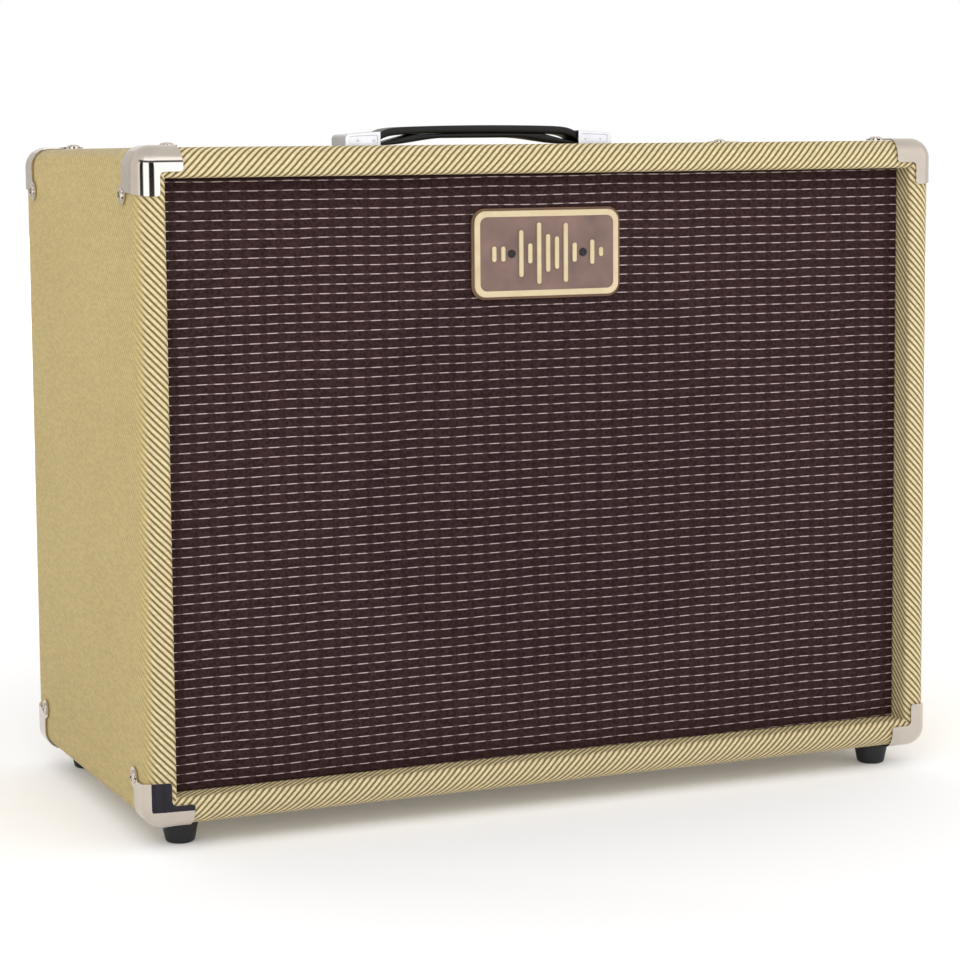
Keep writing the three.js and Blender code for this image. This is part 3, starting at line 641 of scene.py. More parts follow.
def lathe_mesh(name, outline, segments=48, axis="Z", origin=(0, 0, 0), ripple=None):
    """Turns an open outline of (radius, height) points about an axis.

    ripple(angle, radius, height) gives another radius where the piece is not round.
    """
    bm = bmesh.new()
    rings = []
    for radius, height in outline:
        ring = []
        for k in range(segments):
            angle = 2 * math.pi * k / segments
            r = ripple(angle, radius, height) if ripple else radius
            point = along_axis(axis, r * math.cos(angle), r * math.sin(angle), height)
            ring.append(bm.verts.new(point + Vector(origin)))
        rings.append(ring)
    rolled(bm, rings, closed=False)
    return mesh_from(name, bm)


def lathe(name, outline, body=ROOT, look="steel", smooth=35.0, slot=None, **options):
    """A turned piece."""
    return add_object(name, lathe_mesh(name, outline, **options), body, [look], smooth)


def prism(name, outline, low, high, axis="Z"):
    """A closed solid drawn along an axis, from a flat outline in the other two axes in order."""
    bm = bmesh.new()
    rings = []
    for level in (low, high):
        rings.append([bm.verts.new(along_axis(axis, *point, level)) for point in outline])
    rolled(bm, rings)
    return mesh_from(name, bm)


def block(name, low, high):
    """A plain box mesh."""
    outline = [(low[0], low[1]), (high[0], low[1]), (high[0], high[1]), (low[0], high[1])]
    return prism(name, outline, low[2], high[2])


def rounded_block(name, low, high, radius, segments):
    """A block with all its edges rounded to a radius."""
    bm = opened([block(name, low, high)])
    bmesh.ops.bevel(bm, geom=bm.edges[:], offset=radius, segments=segments, profile=0.5, affect="EDGES")
    bmesh.ops.remove_doubles(bm, verts=bm.verts, dist=WELD)
    return bare_mesh(name, bm)


def joined(name, meshes):
    """One mesh from several, each keeping its own place."""
    return bare_mesh(name, opened(meshes))


def combined(name, base, steps):
    """The base mesh after exact booleans, as (operation, mesh) steps."""
    holder = bpy.data.objects.new("work", base)
    bpy.context.scene.collection.objects.link(holder)
    tools = []
    for operation, mesh in steps:
        tool = bpy.data.objects.new("tool", mesh)
        bpy.context.scene.collection.objects.link(tool)
        tools.append(tool)
        modifier = holder.modifiers.new(operation, "BOOLEAN")
        modifier.operation = operation
        modifier.solver = "EXACT"
        modifier.object = tool
    bpy.context.view_layer.update()
    evaluated = holder.evaluated_get(bpy.context.evaluated_depsgraph_get())
    mesh = bpy.data.meshes.new_from_object(evaluated)
    mesh.name = name
    for item in [holder, *tools]:
        bpy.data.objects.remove(item)
    bm = opened([mesh])
    bmesh.ops.remove_doubles(bm, verts=bm.verts, dist=2 * WELD)
    bmesh.ops.dissolve_degenerate(bm, dist=2 * WELD, edges=bm.edges)
    bm.to_mesh(mesh)
    bm.free()
    return mesh


# ---- Cabinet boards in their covering ----
ARC_STEPS = 8


def board_profile(rear_fold):
    """A board's section, as (depth inwards from the outer face, y, is_covered) points in a closed loop."""
    points = [(BOARD, REAR - REAR_EDGE, True), (BOARD, rear_fold, False), (BOARD, WINDOW_REAR, False)]
    points += [(BOARD, WINDOW_FRONT, False), (BOARD, CLOTH_FRONT + 2 * MM, True)]

    def arc(centre_d, centre_y, radius, start, end, steps):
        for k in range(steps + 1):
            angle = math.radians(start + (end - start) * k / steps)
            points.append((centre_d + radius * math.cos(angle), centre_y + radius * math.sin(angle), True))

    arc(BOARD - LIP_EDGE, FRONT + LIP_EDGE, LIP_EDGE, 0, -90, 4)
    arc(EDGE, FRONT + EDGE, EDGE, -90, -180, ARC_STEPS)
    points.append((0, WINDOW_FRONT - WINDOW_EDGE, True))
    points.append((0, WINDOW_REAR + WINDOW_EDGE, True))
    arc(EDGE, REAR - EDGE, EDGE, 180, 90, ARC_STEPS)
    arc(BOARD - REAR_EDGE, REAR - REAR_EDGE, REAR_EDGE, 90, 0, 3)
    return points[:-1]


def board_mesh(name, normal, along, half_across, half_along, run, window=False):
    """One board, mitred at its ends, with cloth coordinates.

    run is where its cloth starts round the cabinet. The board is built as a grid of its section
    at stations along it: arcs in the rounded corners, and lines between them.
    """
    profile = board_profile(REAR - 12 * MM)
    travelled = [0.0]
    for (d0, y0, _), (d1, y1, _) in zip(profile, profile[1:] + profile[:1]):
        travelled.append(travelled[-1] + math.hypot(d1 - d0, y1 - y0))
    stations = [("arc", -45 + 45 * k / 5) for k in range(5)]
    cuts = [WINDOW_HALF + WINDOW_EDGE, WINDOW_HALF] if window else [half_along * 0.5]
    straight = sorted({-(half_along - EDGE), half_along - EDGE, 0.0, *cuts, *[-c for c in cuts]})
    stations += [("line", t) for t in straight]
    stations += [("arc", 45 * (k + 1) / 5) for k in range(5)]

    def place(station, depth):
        """Position along and across the board, and the cloth's own coordinate along it."""
        kind, value = station
        round_end = half_along - EDGE
        radius = EDGE - depth
        if kind == "arc" and radius > 0:
            angle = math.radians(value)
            sign = math.copysign(1, value)
            t = sign * round_end + radius * math.sin(angle)
            return t, half_across - EDGE + radius * math.cos(angle), sign * round_end + radius * angle
        t = math.copysign(half_along, value) if kind == "arc" else value
        limit = half_along - max(depth, EDGE)
        t = max(-limit, min(limit, t))
        return t, half_across - depth, t

    bm = bmesh.new()
    cloth = bm.loops.layers.uv.new("Cloth")
    centre = Vector((0, 0, CENTRE_Z))
    grid = []
    for station in stations:
        row = []
        for depth, y, _ in profile:
            t, n, s = place(station, depth)
            point = centre + Vector(along) * t + Vector(normal) * n
            row.append((bm.verts.new((point.x, y, point.z)), s))
        grid.append(row)
    count = len(profile)
    for i in range(len(stations) - 1):
        for j in range(count):
            k = (j + 1) % count
            if window and hole_face(stations[i], stations[i + 1], profile[j], profile[k]):
                continue
            corners = [(i, j, j), (i + 1, j, j), (i + 1, k, j + 1), (i, k, j + 1)]
            face = bm.faces.new([grid[a][b][0] for a, b, _ in corners])
            face.material_index = 0 if profile[j][2] else 1
            for loop, (a, b, c) in zip(face.loops, corners):
                loop[cloth].uv = (run + grid[a][b][1], travelled[c])
    if window:
        add_window_walls(bm, cloth, run)
    for row in (grid[0], grid[-1]):
        face = bm.faces.new([vert for vert, _ in row])
        face.material_index = 1
    return mesh_from(name, bm)


def hole_face(station, following, point, next_point):
    """True for a face of the top board that the control window takes away."""
    if station[0] != "line" or following[0] != "line":
        return False
    room = WINDOW_HALF if point[0] == BOARD else WINDOW_HALF + WINDOW_EDGE
    margin = 0 if point[0] == BOARD else WINDOW_EDGE
    if point[0] != next_point[0]:
        return False
    low_y, high_y = sorted((point[1], next_point[1]))
    within_length = station[1] >= -room - WELD and following[1] <= room + WELD
    behind_front = low_y >= WINDOW_FRONT - margin - WELD
    return within_length and behind_front and high_y <= WINDOW_REAR + margin + WELD


def add_window_walls(bm, cloth, run):
    """The cloth's turn over the window's edge and down its walls, to the board's underside."""
    steps = 4
    levels = []
    for k in range(steps + 1):
        angle = math.radians(90 * k / steps)
        out = WINDOW_EDGE * (1 - math.sin(angle))
        down = WINDOW_EDGE * (1 - math.cos(angle))
        levels.append((out, down, WINDOW_EDGE * angle))
    levels.append((0, BOARD, WINDOW_EDGE * math.pi / 2 + BOARD - WINDOW_EDGE))
    rings = []
    for out, down, gone in levels:
        x, y0, y1 = WINDOW_HALF + out, WINDOW_FRONT - out, WINDOW_REAR + out
        corners = [(-x, y0), (-WINDOW_HALF, y0), (0, y0), (WINDOW_HALF, y0), (x, y0)]
        corners += [(x, y1), (WINDOW_HALF, y1), (0, y1), (-WINDOW_HALF, y1), (-x, y1)]
        rings.append([(bm.verts.new((a, b, TOP - down)), a, b, gone) for a, b in corners])
    for upper, lower in zip(rings, rings[1:]):
        for k in range(len(upper)):
            m = (k + 1) % len(upper)
            quad = [upper[k], upper[m], lower[m], lower[k]]
            face = bm.faces.new([q[0] for q in quad])
            lengthwise = abs(upper[k][1] - upper[m][1]) > WELD
            for loop, (_, a, b, gone) in zip(face.loops, quad):
                loop[cloth].uv = (run + a, gone + b) if lengthwise else (run + gone + a, b)


def add_boards():
    """The four covered boards, with one cloth that runs on round the cabinet."""
    quarter = EDGE * math.pi / 4
    width_run = HALF_WIDTH - EDGE + quarter
    height_run = HALF_HEIGHT - EDGE + quarter
    full_run = width_run + height_run
    boards = [
        ("top_panel", (0, 0, 1), (1, 0, 0), HALF_HEIGHT, HALF_WIDTH, 0.0),
        ("right_side_panel", (1, 0, 0), (0, 0, -1), HALF_WIDTH, HALF_HEIGHT, full_run),
        ("bottom_panel", (0, 0, -1), (-1, 0, 0), HALF_HEIGHT, HALF_WIDTH, 2 * full_run),
        ("left_side_panel", (-1, 0, 0), (0, 0, 1), HALF_WIDTH, HALF_HEIGHT, 3 * full_run),
    ]
    for node, normal, along, across, length, run in boards:
        name = f"{node}_covered"
        mesh = board_mesh(name, normal, along, across, length, run, node == "top_panel")
        piece = add_object(name, mesh, ROOT, ["tweed", "wood"], 30)
        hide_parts(node)


# ---- Screws ----
SCREW_RADIUS = 4.3 * MM


def screw_mesh(name, radius, height, look):
    """A domed head with a cross recess, standing on its own z = 0."""
    steps = 6
    dome = [(0, -0.4 * MM), (radius, -0.4 * MM), (radius, 0.25 * height)]
    for k in range(1, steps + 1):
        angle = math.radians(90 * k / steps)
        dome.append((radius * math.cos(angle), height * (0.25 + 0.75 * math.sin(angle))))
    head = lathe_mesh(name, dome, 28)
    arm = 0.6 * radius
    slot = 0.13 * radius
    floor = 0.55 * height
    cutters = [
        ("DIFFERENCE", block("slot", (-arm, -slot, floor), (arm, slot, 2 * height))),
        ("DIFFERENCE", block("slot", (-slot, -arm, floor), (slot, arm, 2 * height))),
    ]
    mesh = combined(name, head, cutters)
    mesh.materials.append(LOOKS[look])
    return mesh


SCREWS = {
    "nickel": screw_mesh("domed_screw", SCREW_RADIUS, 1.6 * MM, "nickel"),
    "black": screw_mesh("badge_screw", 2.6 * MM, 1.5 * MM, "black_screw"),
    "small": screw_mesh("small_screw", 3.0 * MM, 1.6 * MM, "nickel"),
}


def add_screw(name, kind, place, direction, turn):
    """A screw at a place, its head towards a direction and turned by so many degrees."""
    matrix = turned_towards(direction, place) @ Matrix.Rotation(math.radians(turn), 4, "Z")
    return add_object(name, SCREWS[kind], ROOT, (), 30, matrix)


# ---- Corner protectors ----
PLATE = 27 * MM  # width of a protector's plate on the side and the top
LOBE_INSET = 28 * MM  # of the middle of its round lobe, and so of its screw
LOBE = 6.5 * MM  # radius
LEG_LENGTH = 29.5 * MM  # of the two legs on the front
LEG_WIDTH = 14.5 * MM
LEG_SLANT = 2.5 * MM  # how much shorter a leg gets as it goes back over the edge
INWARDS = 12 * MM  # how deep the plates' outlines are cut into the corner block
CLEAR = 3 * MM  # how far they stand clear of it


def lobed_plate():
    """A square plate with a round lobe on its inner corner, drawn in distances from two edges."""
    fillet = 2.5 * MM
    rise = math.sqrt((LOBE + fillet) ** 2 - (fillet - LOBE_INSET + PLATE) ** 2)
    side = Vector((PLATE + fillet, LOBE_INSET - rise))
    centre = Vector((LOBE_INSET, LOBE_INSET))
    meet = (centre - side).normalized()
    half = [Vector((PLATE, -CLEAR)), Vector((PLATE, side.y))]
    start = math.pi
    end = math.atan2(meet.y, meet.x)
    for k in range(1, 5):
        angle = start + (end - start) * k / 4
        half.append(side + fillet * Vector((math.cos(angle), math.sin(angle))))
    first = math.atan2(-meet.y, -meet.x)
    for k in range(1, 8):
        angle = first + (math.pi / 4 - first) * k / 7
        half.append(centre + LOBE * Vector((math.cos(angle), math.sin(angle))))
    mirrored = [Vector((p.y, p.x)) for p in reversed(half[:-1])]
    return [Vector((-CLEAR, -CLEAR))] + half + mirrored


def protector_leg_outline(shorter):
    """The L on the front, with its inner corner and the ends of its legs rounded."""
    end = LEG_LENGTH - shorter
    near = LEG_WIDTH
    tip = 2 * MM
    inner = 3 * MM
    corners = [
        (-CLEAR, -CLEAR, 0), (end, -CLEAR, 0), (end, near, tip),
        (near, near, inner), (near, end, tip), (-CLEAR, end, 0),
    ]
    return filleted(corners, 4)


def slanted_prism(name, near_outline, far_outline, near, far):
    """A solid between two outlines in x and z at two places along y."""
    bm = bmesh.new()
    rings = []
    for outline, y in ((near_outline, near), (far_outline, far)):
        rings.append([bm.verts.new(along_axis("Y", *point, y)) for point in outline])
    rolled(bm, rings)
    return mesh_from(name, bm)


def protector_mesh():
    """One pressed corner, in distances inwards from the cabinet's side, front and top."""
    far = 60 * MM
    inside = PLATING_GAP
    outside = PLATING_GAP + PLATING
    outer = rounded_block("outer", (-outside,) * 3, (far,) * 3, EDGE + outside, 10)
    inner = rounded_block("inner", (-inside,) * 3, (far + CLEAR,) * 3, EDGE + inside, 10)
    plate = lobed_plate()
    side = prism("side", plate, -CLEAR, INWARDS, "X")
    level = prism("level", plate, -1.1 * CLEAR, INWARDS, "Z")
    whole_leg, short_leg = protector_leg_outline(0), protector_leg_outline(LEG_SLANT)
    leg = slanted_prism("leg", whole_leg, short_leg, -1.2 * CLEAR, INWARDS)
    mask = combined("mask", leg, [("UNION", side), ("UNION", level)])
    return combined("protector", mask, [("INTERSECT", outer), ("DIFFERENCE", inner)])


def add_protectors():
    """The eight protectors, mirrored from one, with their screws."""
    whole = protector_mesh()
    for side_y, depth_name in DEPTHS:
        for side_z, level_name in LEVELS:
            for side_x, side_name in SIDES:
                add_protector(whole, f"corner_{depth_name}_{level_name}_{side_name}", side_x, side_y, side_z)


def add_protector(whole, node, side_x, side_y, side_z):
    """One protector with a screw in its side plate and, at the top, one in its top plate."""
    mesh = whole.copy()
    turn = Matrix.Diagonal((-side_x, -side_y, -side_z, 1))
    corner_y = REAR if side_y > 0 else FRONT
    corner_z = TOP if side_z > 0 else BASE
    turn.translation = Vector((side_x * HALF_WIDTH, corner_y, corner_z))
    mesh.transform(turn)
    if side_x * side_y * side_z > 0:
        mesh.flip_normals()
    piece = add_object(f"{node}_plate", mesh, ROOT, ["nickel"], 40)
    bevelled(piece, 0.35 * MM, 2, 40)
    piece.modifiers.new("even_shading", "WEIGHTED_NORMAL").keep_sharp = True
    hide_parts(node)
    stand = PLATING_GAP + PLATING
    lobe_y = side_y * (REAR - LOBE_INSET)
    side_place = (side_x * (HALF_WIDTH + stand), lobe_y, corner_z - side_z * LOBE_INSET)
    slot_turn = 17 + 29 * side_x + 41 * side_y + 13 * side_z
    add_screw(f"{node}_side_screw", "nickel", side_place, (side_x, 0, 0), slot_turn)
    if side_z > 0:
        top_place = (side_x * (HALF_WIDTH - LOBE_INSET), lobe_y, TOP + stand)
        add_screw(f"{node}_top_screw", "nickel", top_place, (0, 0, 1), 3 * slot_turn)


# ---- Feet ----
def add_feet():
    """Tapered rubber feet, each with a screw up a recess in its middle."""
    low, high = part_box("foot_front_left")
    top = high.z
    wide = (high.x - low.x) / 2
    narrow = wide - 2.5 * MM
    edge = 2.4 * MM
    recess = 4.6 * MM
    outline = [(0, 6 * MM), (recess, 6 * MM), (recess, 0.8 * MM), (recess + 0.8 * MM, 0)]
    for k in range(6):
        angle = math.radians(-90 + 78 * k / 5)
        outline.append((narrow - edge + edge * math.cos(angle), edge + edge * math.sin(angle)))
    outline += [(wide - 0.4 * MM, top - 1 * MM), (wide - 0.6 * MM, top - 0.3 * MM)]
    outline += [(wide - 1.2 * MM, top), (0, top)]
    for _, depth_name in DEPTHS:
        for side_x, side_name in SIDES:
            node = f"foot_{depth_name}_{side_name}"
            centre = middle(node)
            place = (centre.x, centre.y, 0)
            piece = lathe(f"{node}_rubber", outline, look="rubber", slot="rubber", segments=48, origin=place)
            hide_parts(node)
            head = (centre.x, centre.y, 5.6 * MM)
            add_screw(f"{node}_screw", "small", head, (0, 0, -1), 20 + 50 * side_x)


# ---- Handle ----
CAP_LOW, CAP_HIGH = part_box("handle_cap_right")
CAP_MOUTH = CAP_LOW.x
CAP_END = CAP_HIGH.x
CAP_RISE = CAP_HIGH.z - TOP
CAP_HALF_WIDTH = CAP_HIGH.y
STRAP_HALF_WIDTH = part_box("handle_strap")[1].y
CAP_WALL = 1.1 * MM
CAP_FALL = 1.8 * MM  # how far a cap's roof comes down towards its outer end


def cap_outline(wall):
    """The cap from the side: open at its mouth, its roof falling a little to a rounded outer end."""
    end = CAP_END - wall
    roof = CAP_RISE - wall
    mouth = CAP_MOUTH if wall == 0 else CAP_MOUTH - 2 * MM
    foot = PLATING_GAP if wall == 0 else -2 * MM
    corners = [(mouth, foot, 0), (end, foot, 0), (end, roof - CAP_FALL, 3 * MM - wall), (mouth, roof, 0)]
    return filleted(corners, 8)


def cap_panel():
    """A shallow pressed panel on each face of a cap."""
    corner = 1.2 * MM
    low, high = 1.3 * MM, CAP_RISE - 2.4 * MM
    near, far = CAP_MOUTH + 2.2 * MM, CAP_END - 3.2 * MM
    return filleted([
        (near, low, corner), (far, low, corner), (far, high - 0.7 * MM, corner), (near, high, corner),
    ])


def add_handle_caps():
    """Hollow plated caps, with a pressed panel and two dimples on each face."""
    dimple = mm_points([(0, -0.55), (0.7, -0.55), (0.7, 0.55), (0, 0.55)])
    half = CAP_HALF_WIDTH
    for side, node in ((1, "handle_cap_right"), (-1, "handle_cap_left")):
        outer = prism("cap", cap_outline(0), -half, half, "Y")
        inner = prism("hollow", cap_outline(CAP_WALL), -half + CAP_WALL, half - CAP_WALL, "Y")
        panels = []
        for face in (-1, 1):
            panel = prism("panel", cap_panel(), face * (half - 0.25 * MM), face * (half + 1 * MM), "Y")
            panels.append(("DIFFERENCE", panel))
            for along in (5 * MM, 16.4 * MM):
                centre = (CAP_MOUTH + along, face * half, 3.3 * MM)
                panels.append(("DIFFERENCE", lathe_mesh("dimple", dimple, 16, "Y", centre)))
        mesh = combined("cap", outer, [("DIFFERENCE", inner), *panels])
        turn = Matrix.Diagonal((side, 1, 1, 1))
        turn.translation = Vector((0, 0, TOP))
        mesh.transform(turn)
        if side < 0:
            mesh.flip_normals()
        piece = add_object(f"{node}_shell", mesh, ROOT, ["cap_metal"], 40)
        bevelled(piece, 0.7 * MM, 3, 50)
        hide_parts(node)


def smoothstep(value):
    """Rises from 0 to 1 with level ends."""
    value = max(0.0, min(1.0, value))
    return value * value * (3 - 2 * value)


UPPER_LAYER = 5.2 * MM  # thickness


def upper_band(x):
    """Lower and upper surface of the strap's top layer above the cabinet, at a distance from its middle."""
    out = max(0.0, CAP_MOUTH - x)
    shoulder = 4.0 * MM * (1 - math.exp(-out / (5 * MM)))
    arch = 1.2 * MM * math.sin(math.pi / 2 * min(1.0, out / CAP_MOUTH))
    fall = CAP_FALL * max(0.0, x - CAP_MOUTH) / (CAP_END - CAP_MOUTH)
    high = CAP_RISE - CAP_WALL - 0.2 * MM - fall + shoulder + arch
    return high - UPPER_LAYER, high


def lower_band(x):
    """The same for the layer beneath, which leaves the cabinet later and then lies against the top one."""
    out = max(0.0, CAP_MOUTH - x)
    low = 0.4 * MM + 4.5 * MM * smoothstep((out - 3 * MM) / (46 * MM))
    return low, min(1.2 * MM + 0.25 * out, upper_band(x)[0] - 0.05 * MM)


def band_mesh(name, side, band, half_width, tuck):
    """Half of one layer of the strap, as a run of rounded sections from inside a cap to the middle."""
    corner = 1.5 * MM
    stations = 44
    bm = bmesh.new()
    rings = []
    for i in range(stations + 1):
        x = tuck * (1 - i / stations)
        low, high = band(x)
        low += TOP
        high += TOP
        r = min(corner, (high - low) / 2 - 0.05 * MM)
        swell = 1 + 0.02 * smoothstep((CAP_MOUTH - x) / (30 * MM))
        y = half_width * swell
        section = filleted([(-y, low, r), (y, low, r), (y, high, r), (-y, high, r)], 4)
        rings.append([bm.verts.new((side * x, p.x, p.y)) for p in section])
    rolled(bm, rings)
    return mesh_from(name, bm)


def add_strap():
    """The strap in two halves, each running from inside a cap to the middle."""
    tuck = CAP_MOUTH + 20 * MM
    half = STRAP_HALF_WIDTH
    for side, name in ((1, "right"), (-1, "left")):
        layers = [
            band_mesh("upper", side, upper_band, half - 0.4 * MM, tuck),
            band_mesh("lower", side, lower_band, half - 0.9 * MM, tuck),
        ]
        piece = add_object(f"strap_{name}_half", joined("strap", layers), None, ["strap"], 40)
        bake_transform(piece)
        if side > 0:
            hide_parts("handle_strap")


# ---- Grille and badge ----
def add_grille_cloth():
    """Cloth stretched over a frame, so its border turns back over the frame's edge."""
    half = CLOTH_HIGH.x
    low, high = CLOTH_LOW.z, CLOTH_HIGH.z
    turn = 1.1 * MM  # width of the border that turns back

    def lines(start, end, count):
        """Even steps along one direction of the sheet, and two finer ones at each border."""
        span = end - start - 2 * turn
        inner = [start + turn + span * k / count for k in range(count + 1)]
        return [start, start + turn / 2, *inner, end - turn / 2, end]

    xs = lines(-half, half, 52)
    zs = lines(low, high, 38)
    bm = bmesh.new()

    def depth(x, z):
        inset = min(x + half, half - x, z - low, high - z)
        back = turn * (1 - min(1.0, inset / turn)) ** 2
        return CLOTH_FRONT + 0.05 * MM + back

    grid = [[bm.verts.new((x, depth(x, z), z)) for z in zs] for x in xs]
    for i in range(len(xs) - 1):
        for k in range(len(zs) - 1):
            bm.faces.new((grid[i][k], grid[i + 1][k], grid[i + 1][k + 1], grid[i][k + 1]))
    mesh = bare_mesh("grille_sheet", bm)
    piece = add_object("grille_sheet", mesh, ROOT, ["grille"], 60)
    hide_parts("grille_cloth")


BADGE_LOW, BADGE_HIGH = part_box("badge_plate")
SCREW_BAR = 4  # a screw takes the place of this bar on each side of the middle one


def rounded_rectangle(left, right, low, high, corner, steps):
    """An outline with four equally rounded corners."""
    corners = ((left, low), (right, low), (right, high), (left, high))
    return filleted([(x, y, corner) for x, y in corners], steps)


def plate_outline(inset, corner):
    """The badge's outline, brought in by so much."""
    left, right = BADGE_LOW.x + inset, BADGE_HIGH.x - inset
    return rounded_rectangle(left, right, BADGE_LOW.z + inset, BADGE_HIGH.z - inset, corner, 8)


def add_badge():
    """A cream plate with a brown edge, and a plain emblem of raised bars like a sound's trace."""
    rear = BADGE_HIGH.y
    front = BADGE_LOW.y
    back = prism("badge_back", plate_outline(0, 9 * MM), front + 1.2 * MM, rear, "Y")
    piece = add_object("badge_back", back, ROOT, ["badge_edge"], 35)
    bevelled(piece, 0.4 * MM)
    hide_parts("badge_plate")
    face = prism("badge_face", plate_outline(1.6 * MM, 7.6 * MM), front, front + 1.3 * MM, "Y")
    bevelled(add_object("badge_face", face, ROOT, ["badge_cream"], 35), 0.5 * MM, 3)
    inlay_front = front - 0.25 * MM
    inlay = prism("badge_inlay", plate_outline(5.5 * MM, 4.5 * MM), inlay_front, front + 0.2 * MM, "Y")
    bevelled(add_object("badge_inlay", inlay, ROOT, ["badge_brown"], 35), 0.15 * MM)
    centre = middle("badge_plate")
    count = 13
    pitch = 6.3 * MM
    half = 1.5 * MM
    bars = []
    for k in range(count):
        from_middle = k - (count - 1) / 2
        if abs(from_middle) == SCREW_BAR:
            continue
        along = from_middle / (count / 2)
        height = 19 * MM * (1 - along * along) * (0.62 + 0.38 * math.cos(k * 2.4)) + 2.2 * MM
        x = centre.x + from_middle * pitch
        low, high = centre.z - height, centre.z + height
        outline = rounded_rectangle(x - half, x + half, low, high, half * 0.95, 5)
        bars.append(prism("bar", outline, front - 1.4 * MM, front, "Y"))
    piece = add_object("badge_bars", joined("badge_bars", bars), ROOT, ["badge_cream"], 35)
    bevelled(piece, 0.4 * MM)
    for side, side_name in SIDES:
        place = (centre.x + side * SCREW_BAR * pitch, front - 0.3 * MM, centre.z)
        add_screw(f"badge_screw_{side_name}", "black", place, (0, -1, 0), 30 * side)


# ---- Back ----
def tweed_slab(name, low, high, radius):
    """A covered board of its own, whose stripes run at 45 degrees on every face."""
    bm = opened([rounded_block(name, low, high, radius, 4)])
    cloth = bm.loops.layers.uv.new("Cloth")
    for face in bm.faces:
        for loop in face.loops:
            x, y, z = loop.vert.co
            loop[cloth].uv = (x, z + y)
    return bare_mesh(name, bm)


def add_back():
    """The two back boards and their screws, in a row along the outer edge and one at each end."""
    inset = 16 * MM
    across = 5  # screws in a row
    for node in ("upper_back_panel", "lower_back_panel"):
        low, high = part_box(node)
        mesh = tweed_slab(node, low, high, 2.5 * MM)
        piece = add_object(f"{node}_covered", mesh, ROOT, ["tweed"], 35)
        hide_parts(node)
        z = high.z - 9 * MM if node == "upper_back_panel" else low.z + 9 * MM
        for k in range(across):
            x = low.x + inset + (high.x - low.x - 2 * inset) * k / (across - 1)
            add_back_screw(f"{node}_screw_{k}", (x, high.y, z))
        for side, end in ((low.x + 6.5 * MM, "left"), (high.x - 6.5 * MM, "right")):
            add_back_screw(f"{node}_{end}_screw", (side, high.y, (low.z + high.z) / 2))


def add_back_screw(name, place):
    """A screw in a cupped finishing washer."""
    washer = mm_points([(0, 0.3), (3.2, 0.3), (4.2, 1.5), (5.2, 1.3), (6, 0.2), (6, -0.2), (0, -0.2)])
    ring = lathe_mesh(f"{name}_washer", washer, 28)
    add_object(f"{name}_washer", ring, ROOT, ["nickel"], 35, turned_towards((0, 1, 0), place))
    head = Vector(place) + Vector((0, 0.6 * MM, 0))
    add_screw(name, "small", head, (0, 1, 0), 1000 * (place[0] + place[2]))


# ---- Control panel ----
CONTROL_Y = (PANEL_LOW.y + PANEL_HIGH.y) / 2
PANEL_FACE = PANEL_HIGH.z
NUT_BASE = PANEL_FACE + PLATING_GAP
CONTROLS = ("volume", "treble", "bass", "reverb")
SWITCHES = ("standby", "power")
SWEEP = 150  # degrees that a knob turns each way
POT_CAN = 11 * MM  # height of a potentiometer's can
NUT_HEIGHT = 2 * MM
LEVER_REST = -12  # degrees that a switch's lever leans at rest


def text_mesh(text, size, depth):
    """A raised text as a mesh, centred on the origin."""
    curve = bpy.data.curves.new("text", "FONT")
    curve.body = text
    curve.size = size
    curve.align_x = "CENTER"
    curve.align_y = "CENTER"
    curve.extrude = depth / 2
    curve.resolution_u = 3
    holder = bpy.data.objects.new("text", curve)
    bpy.context.scene.collection.objects.link(holder)
    bpy.context.view_layer.update()
    evaluated = holder.evaluated_get(bpy.context.evaluated_depsgraph_get())
    mesh = bpy.data.meshes.new_from_object(evaluated)
    bpy.data.objects.remove(holder)
    mesh.materials.clear()
    return mesh


def dial_meshes(x):
    """Ticks round a knob from 0 to 10, and their numbers outside them."""
    meshes = []
    depth = 0.12 * MM
    face = PANEL_FACE + depth / 2
    for k in range(21):
        angle = math.radians(-SWEEP + 2 * SWEEP * k / 20)
        major = k % 2 == 0
        near = 14.2 * MM
        far = near + (2.6 if major else 1.4) * MM
        half = (0.3 if major else 0.18) * MM
        tick = block("tick", (-half, near, -depth / 2), (half, far, depth / 2))
        tick.transform(Matrix.Translation((x, CONTROL_Y, face)) @ Matrix.Rotation(-angle, 4, "Z"))
        meshes.append(tick)
        if major:
            number = text_mesh(str(k // 2), 4.2 * MM, depth)
            radius = 19.8 * MM
            place = (x + radius * math.sin(angle), CONTROL_Y + radius * math.cos(angle), face)
            number.transform(Matrix.Translation(place))
            meshes.append(number)
    return meshes


def hexagon(radius, chamfer, low, high):
    """A nut: a hexagon whose corners are turned away at its upper face."""
    nut = prism("nut", [circle_point(radius, 60 * k) for k in range(6)], low, high)
    rest = radius - chamfer
    cone = lathe_mesh("cone", [
        (0, low - 1 * MM), (radius + 1 * MM, low - 1 * MM), (radius + 1 * MM, high - chamfer),
        (rest, high + 0.1 * MM), (rest, high + 1 * MM), (0, high + 1 * MM),
    ], 32)
    return combined("nut", nut, [("INTERSECT", cone)])


def threaded_tube(outer, inner, low, high):
    """A bush with a fine thread outside and a plain bore inside."""
    pitch = 0.75 * MM
    outline = [(inner, low), (outer, low)]
    turns = max(1, int((high - low) / pitch))
    for k in range(turns):
        z = low + (high - low) * (k + 0.5) / turns
        outline.append((outer - 0.25 * MM, z))
        outline.append((outer, z + (high - low) * 0.5 / turns))
    outline += [(outer - 0.4 * MM, high), (inner + 0.3 * MM, high), (inner, high - 0.3 * MM), (inner, low)]
    return lathe_mesh("tube", outline, 40)


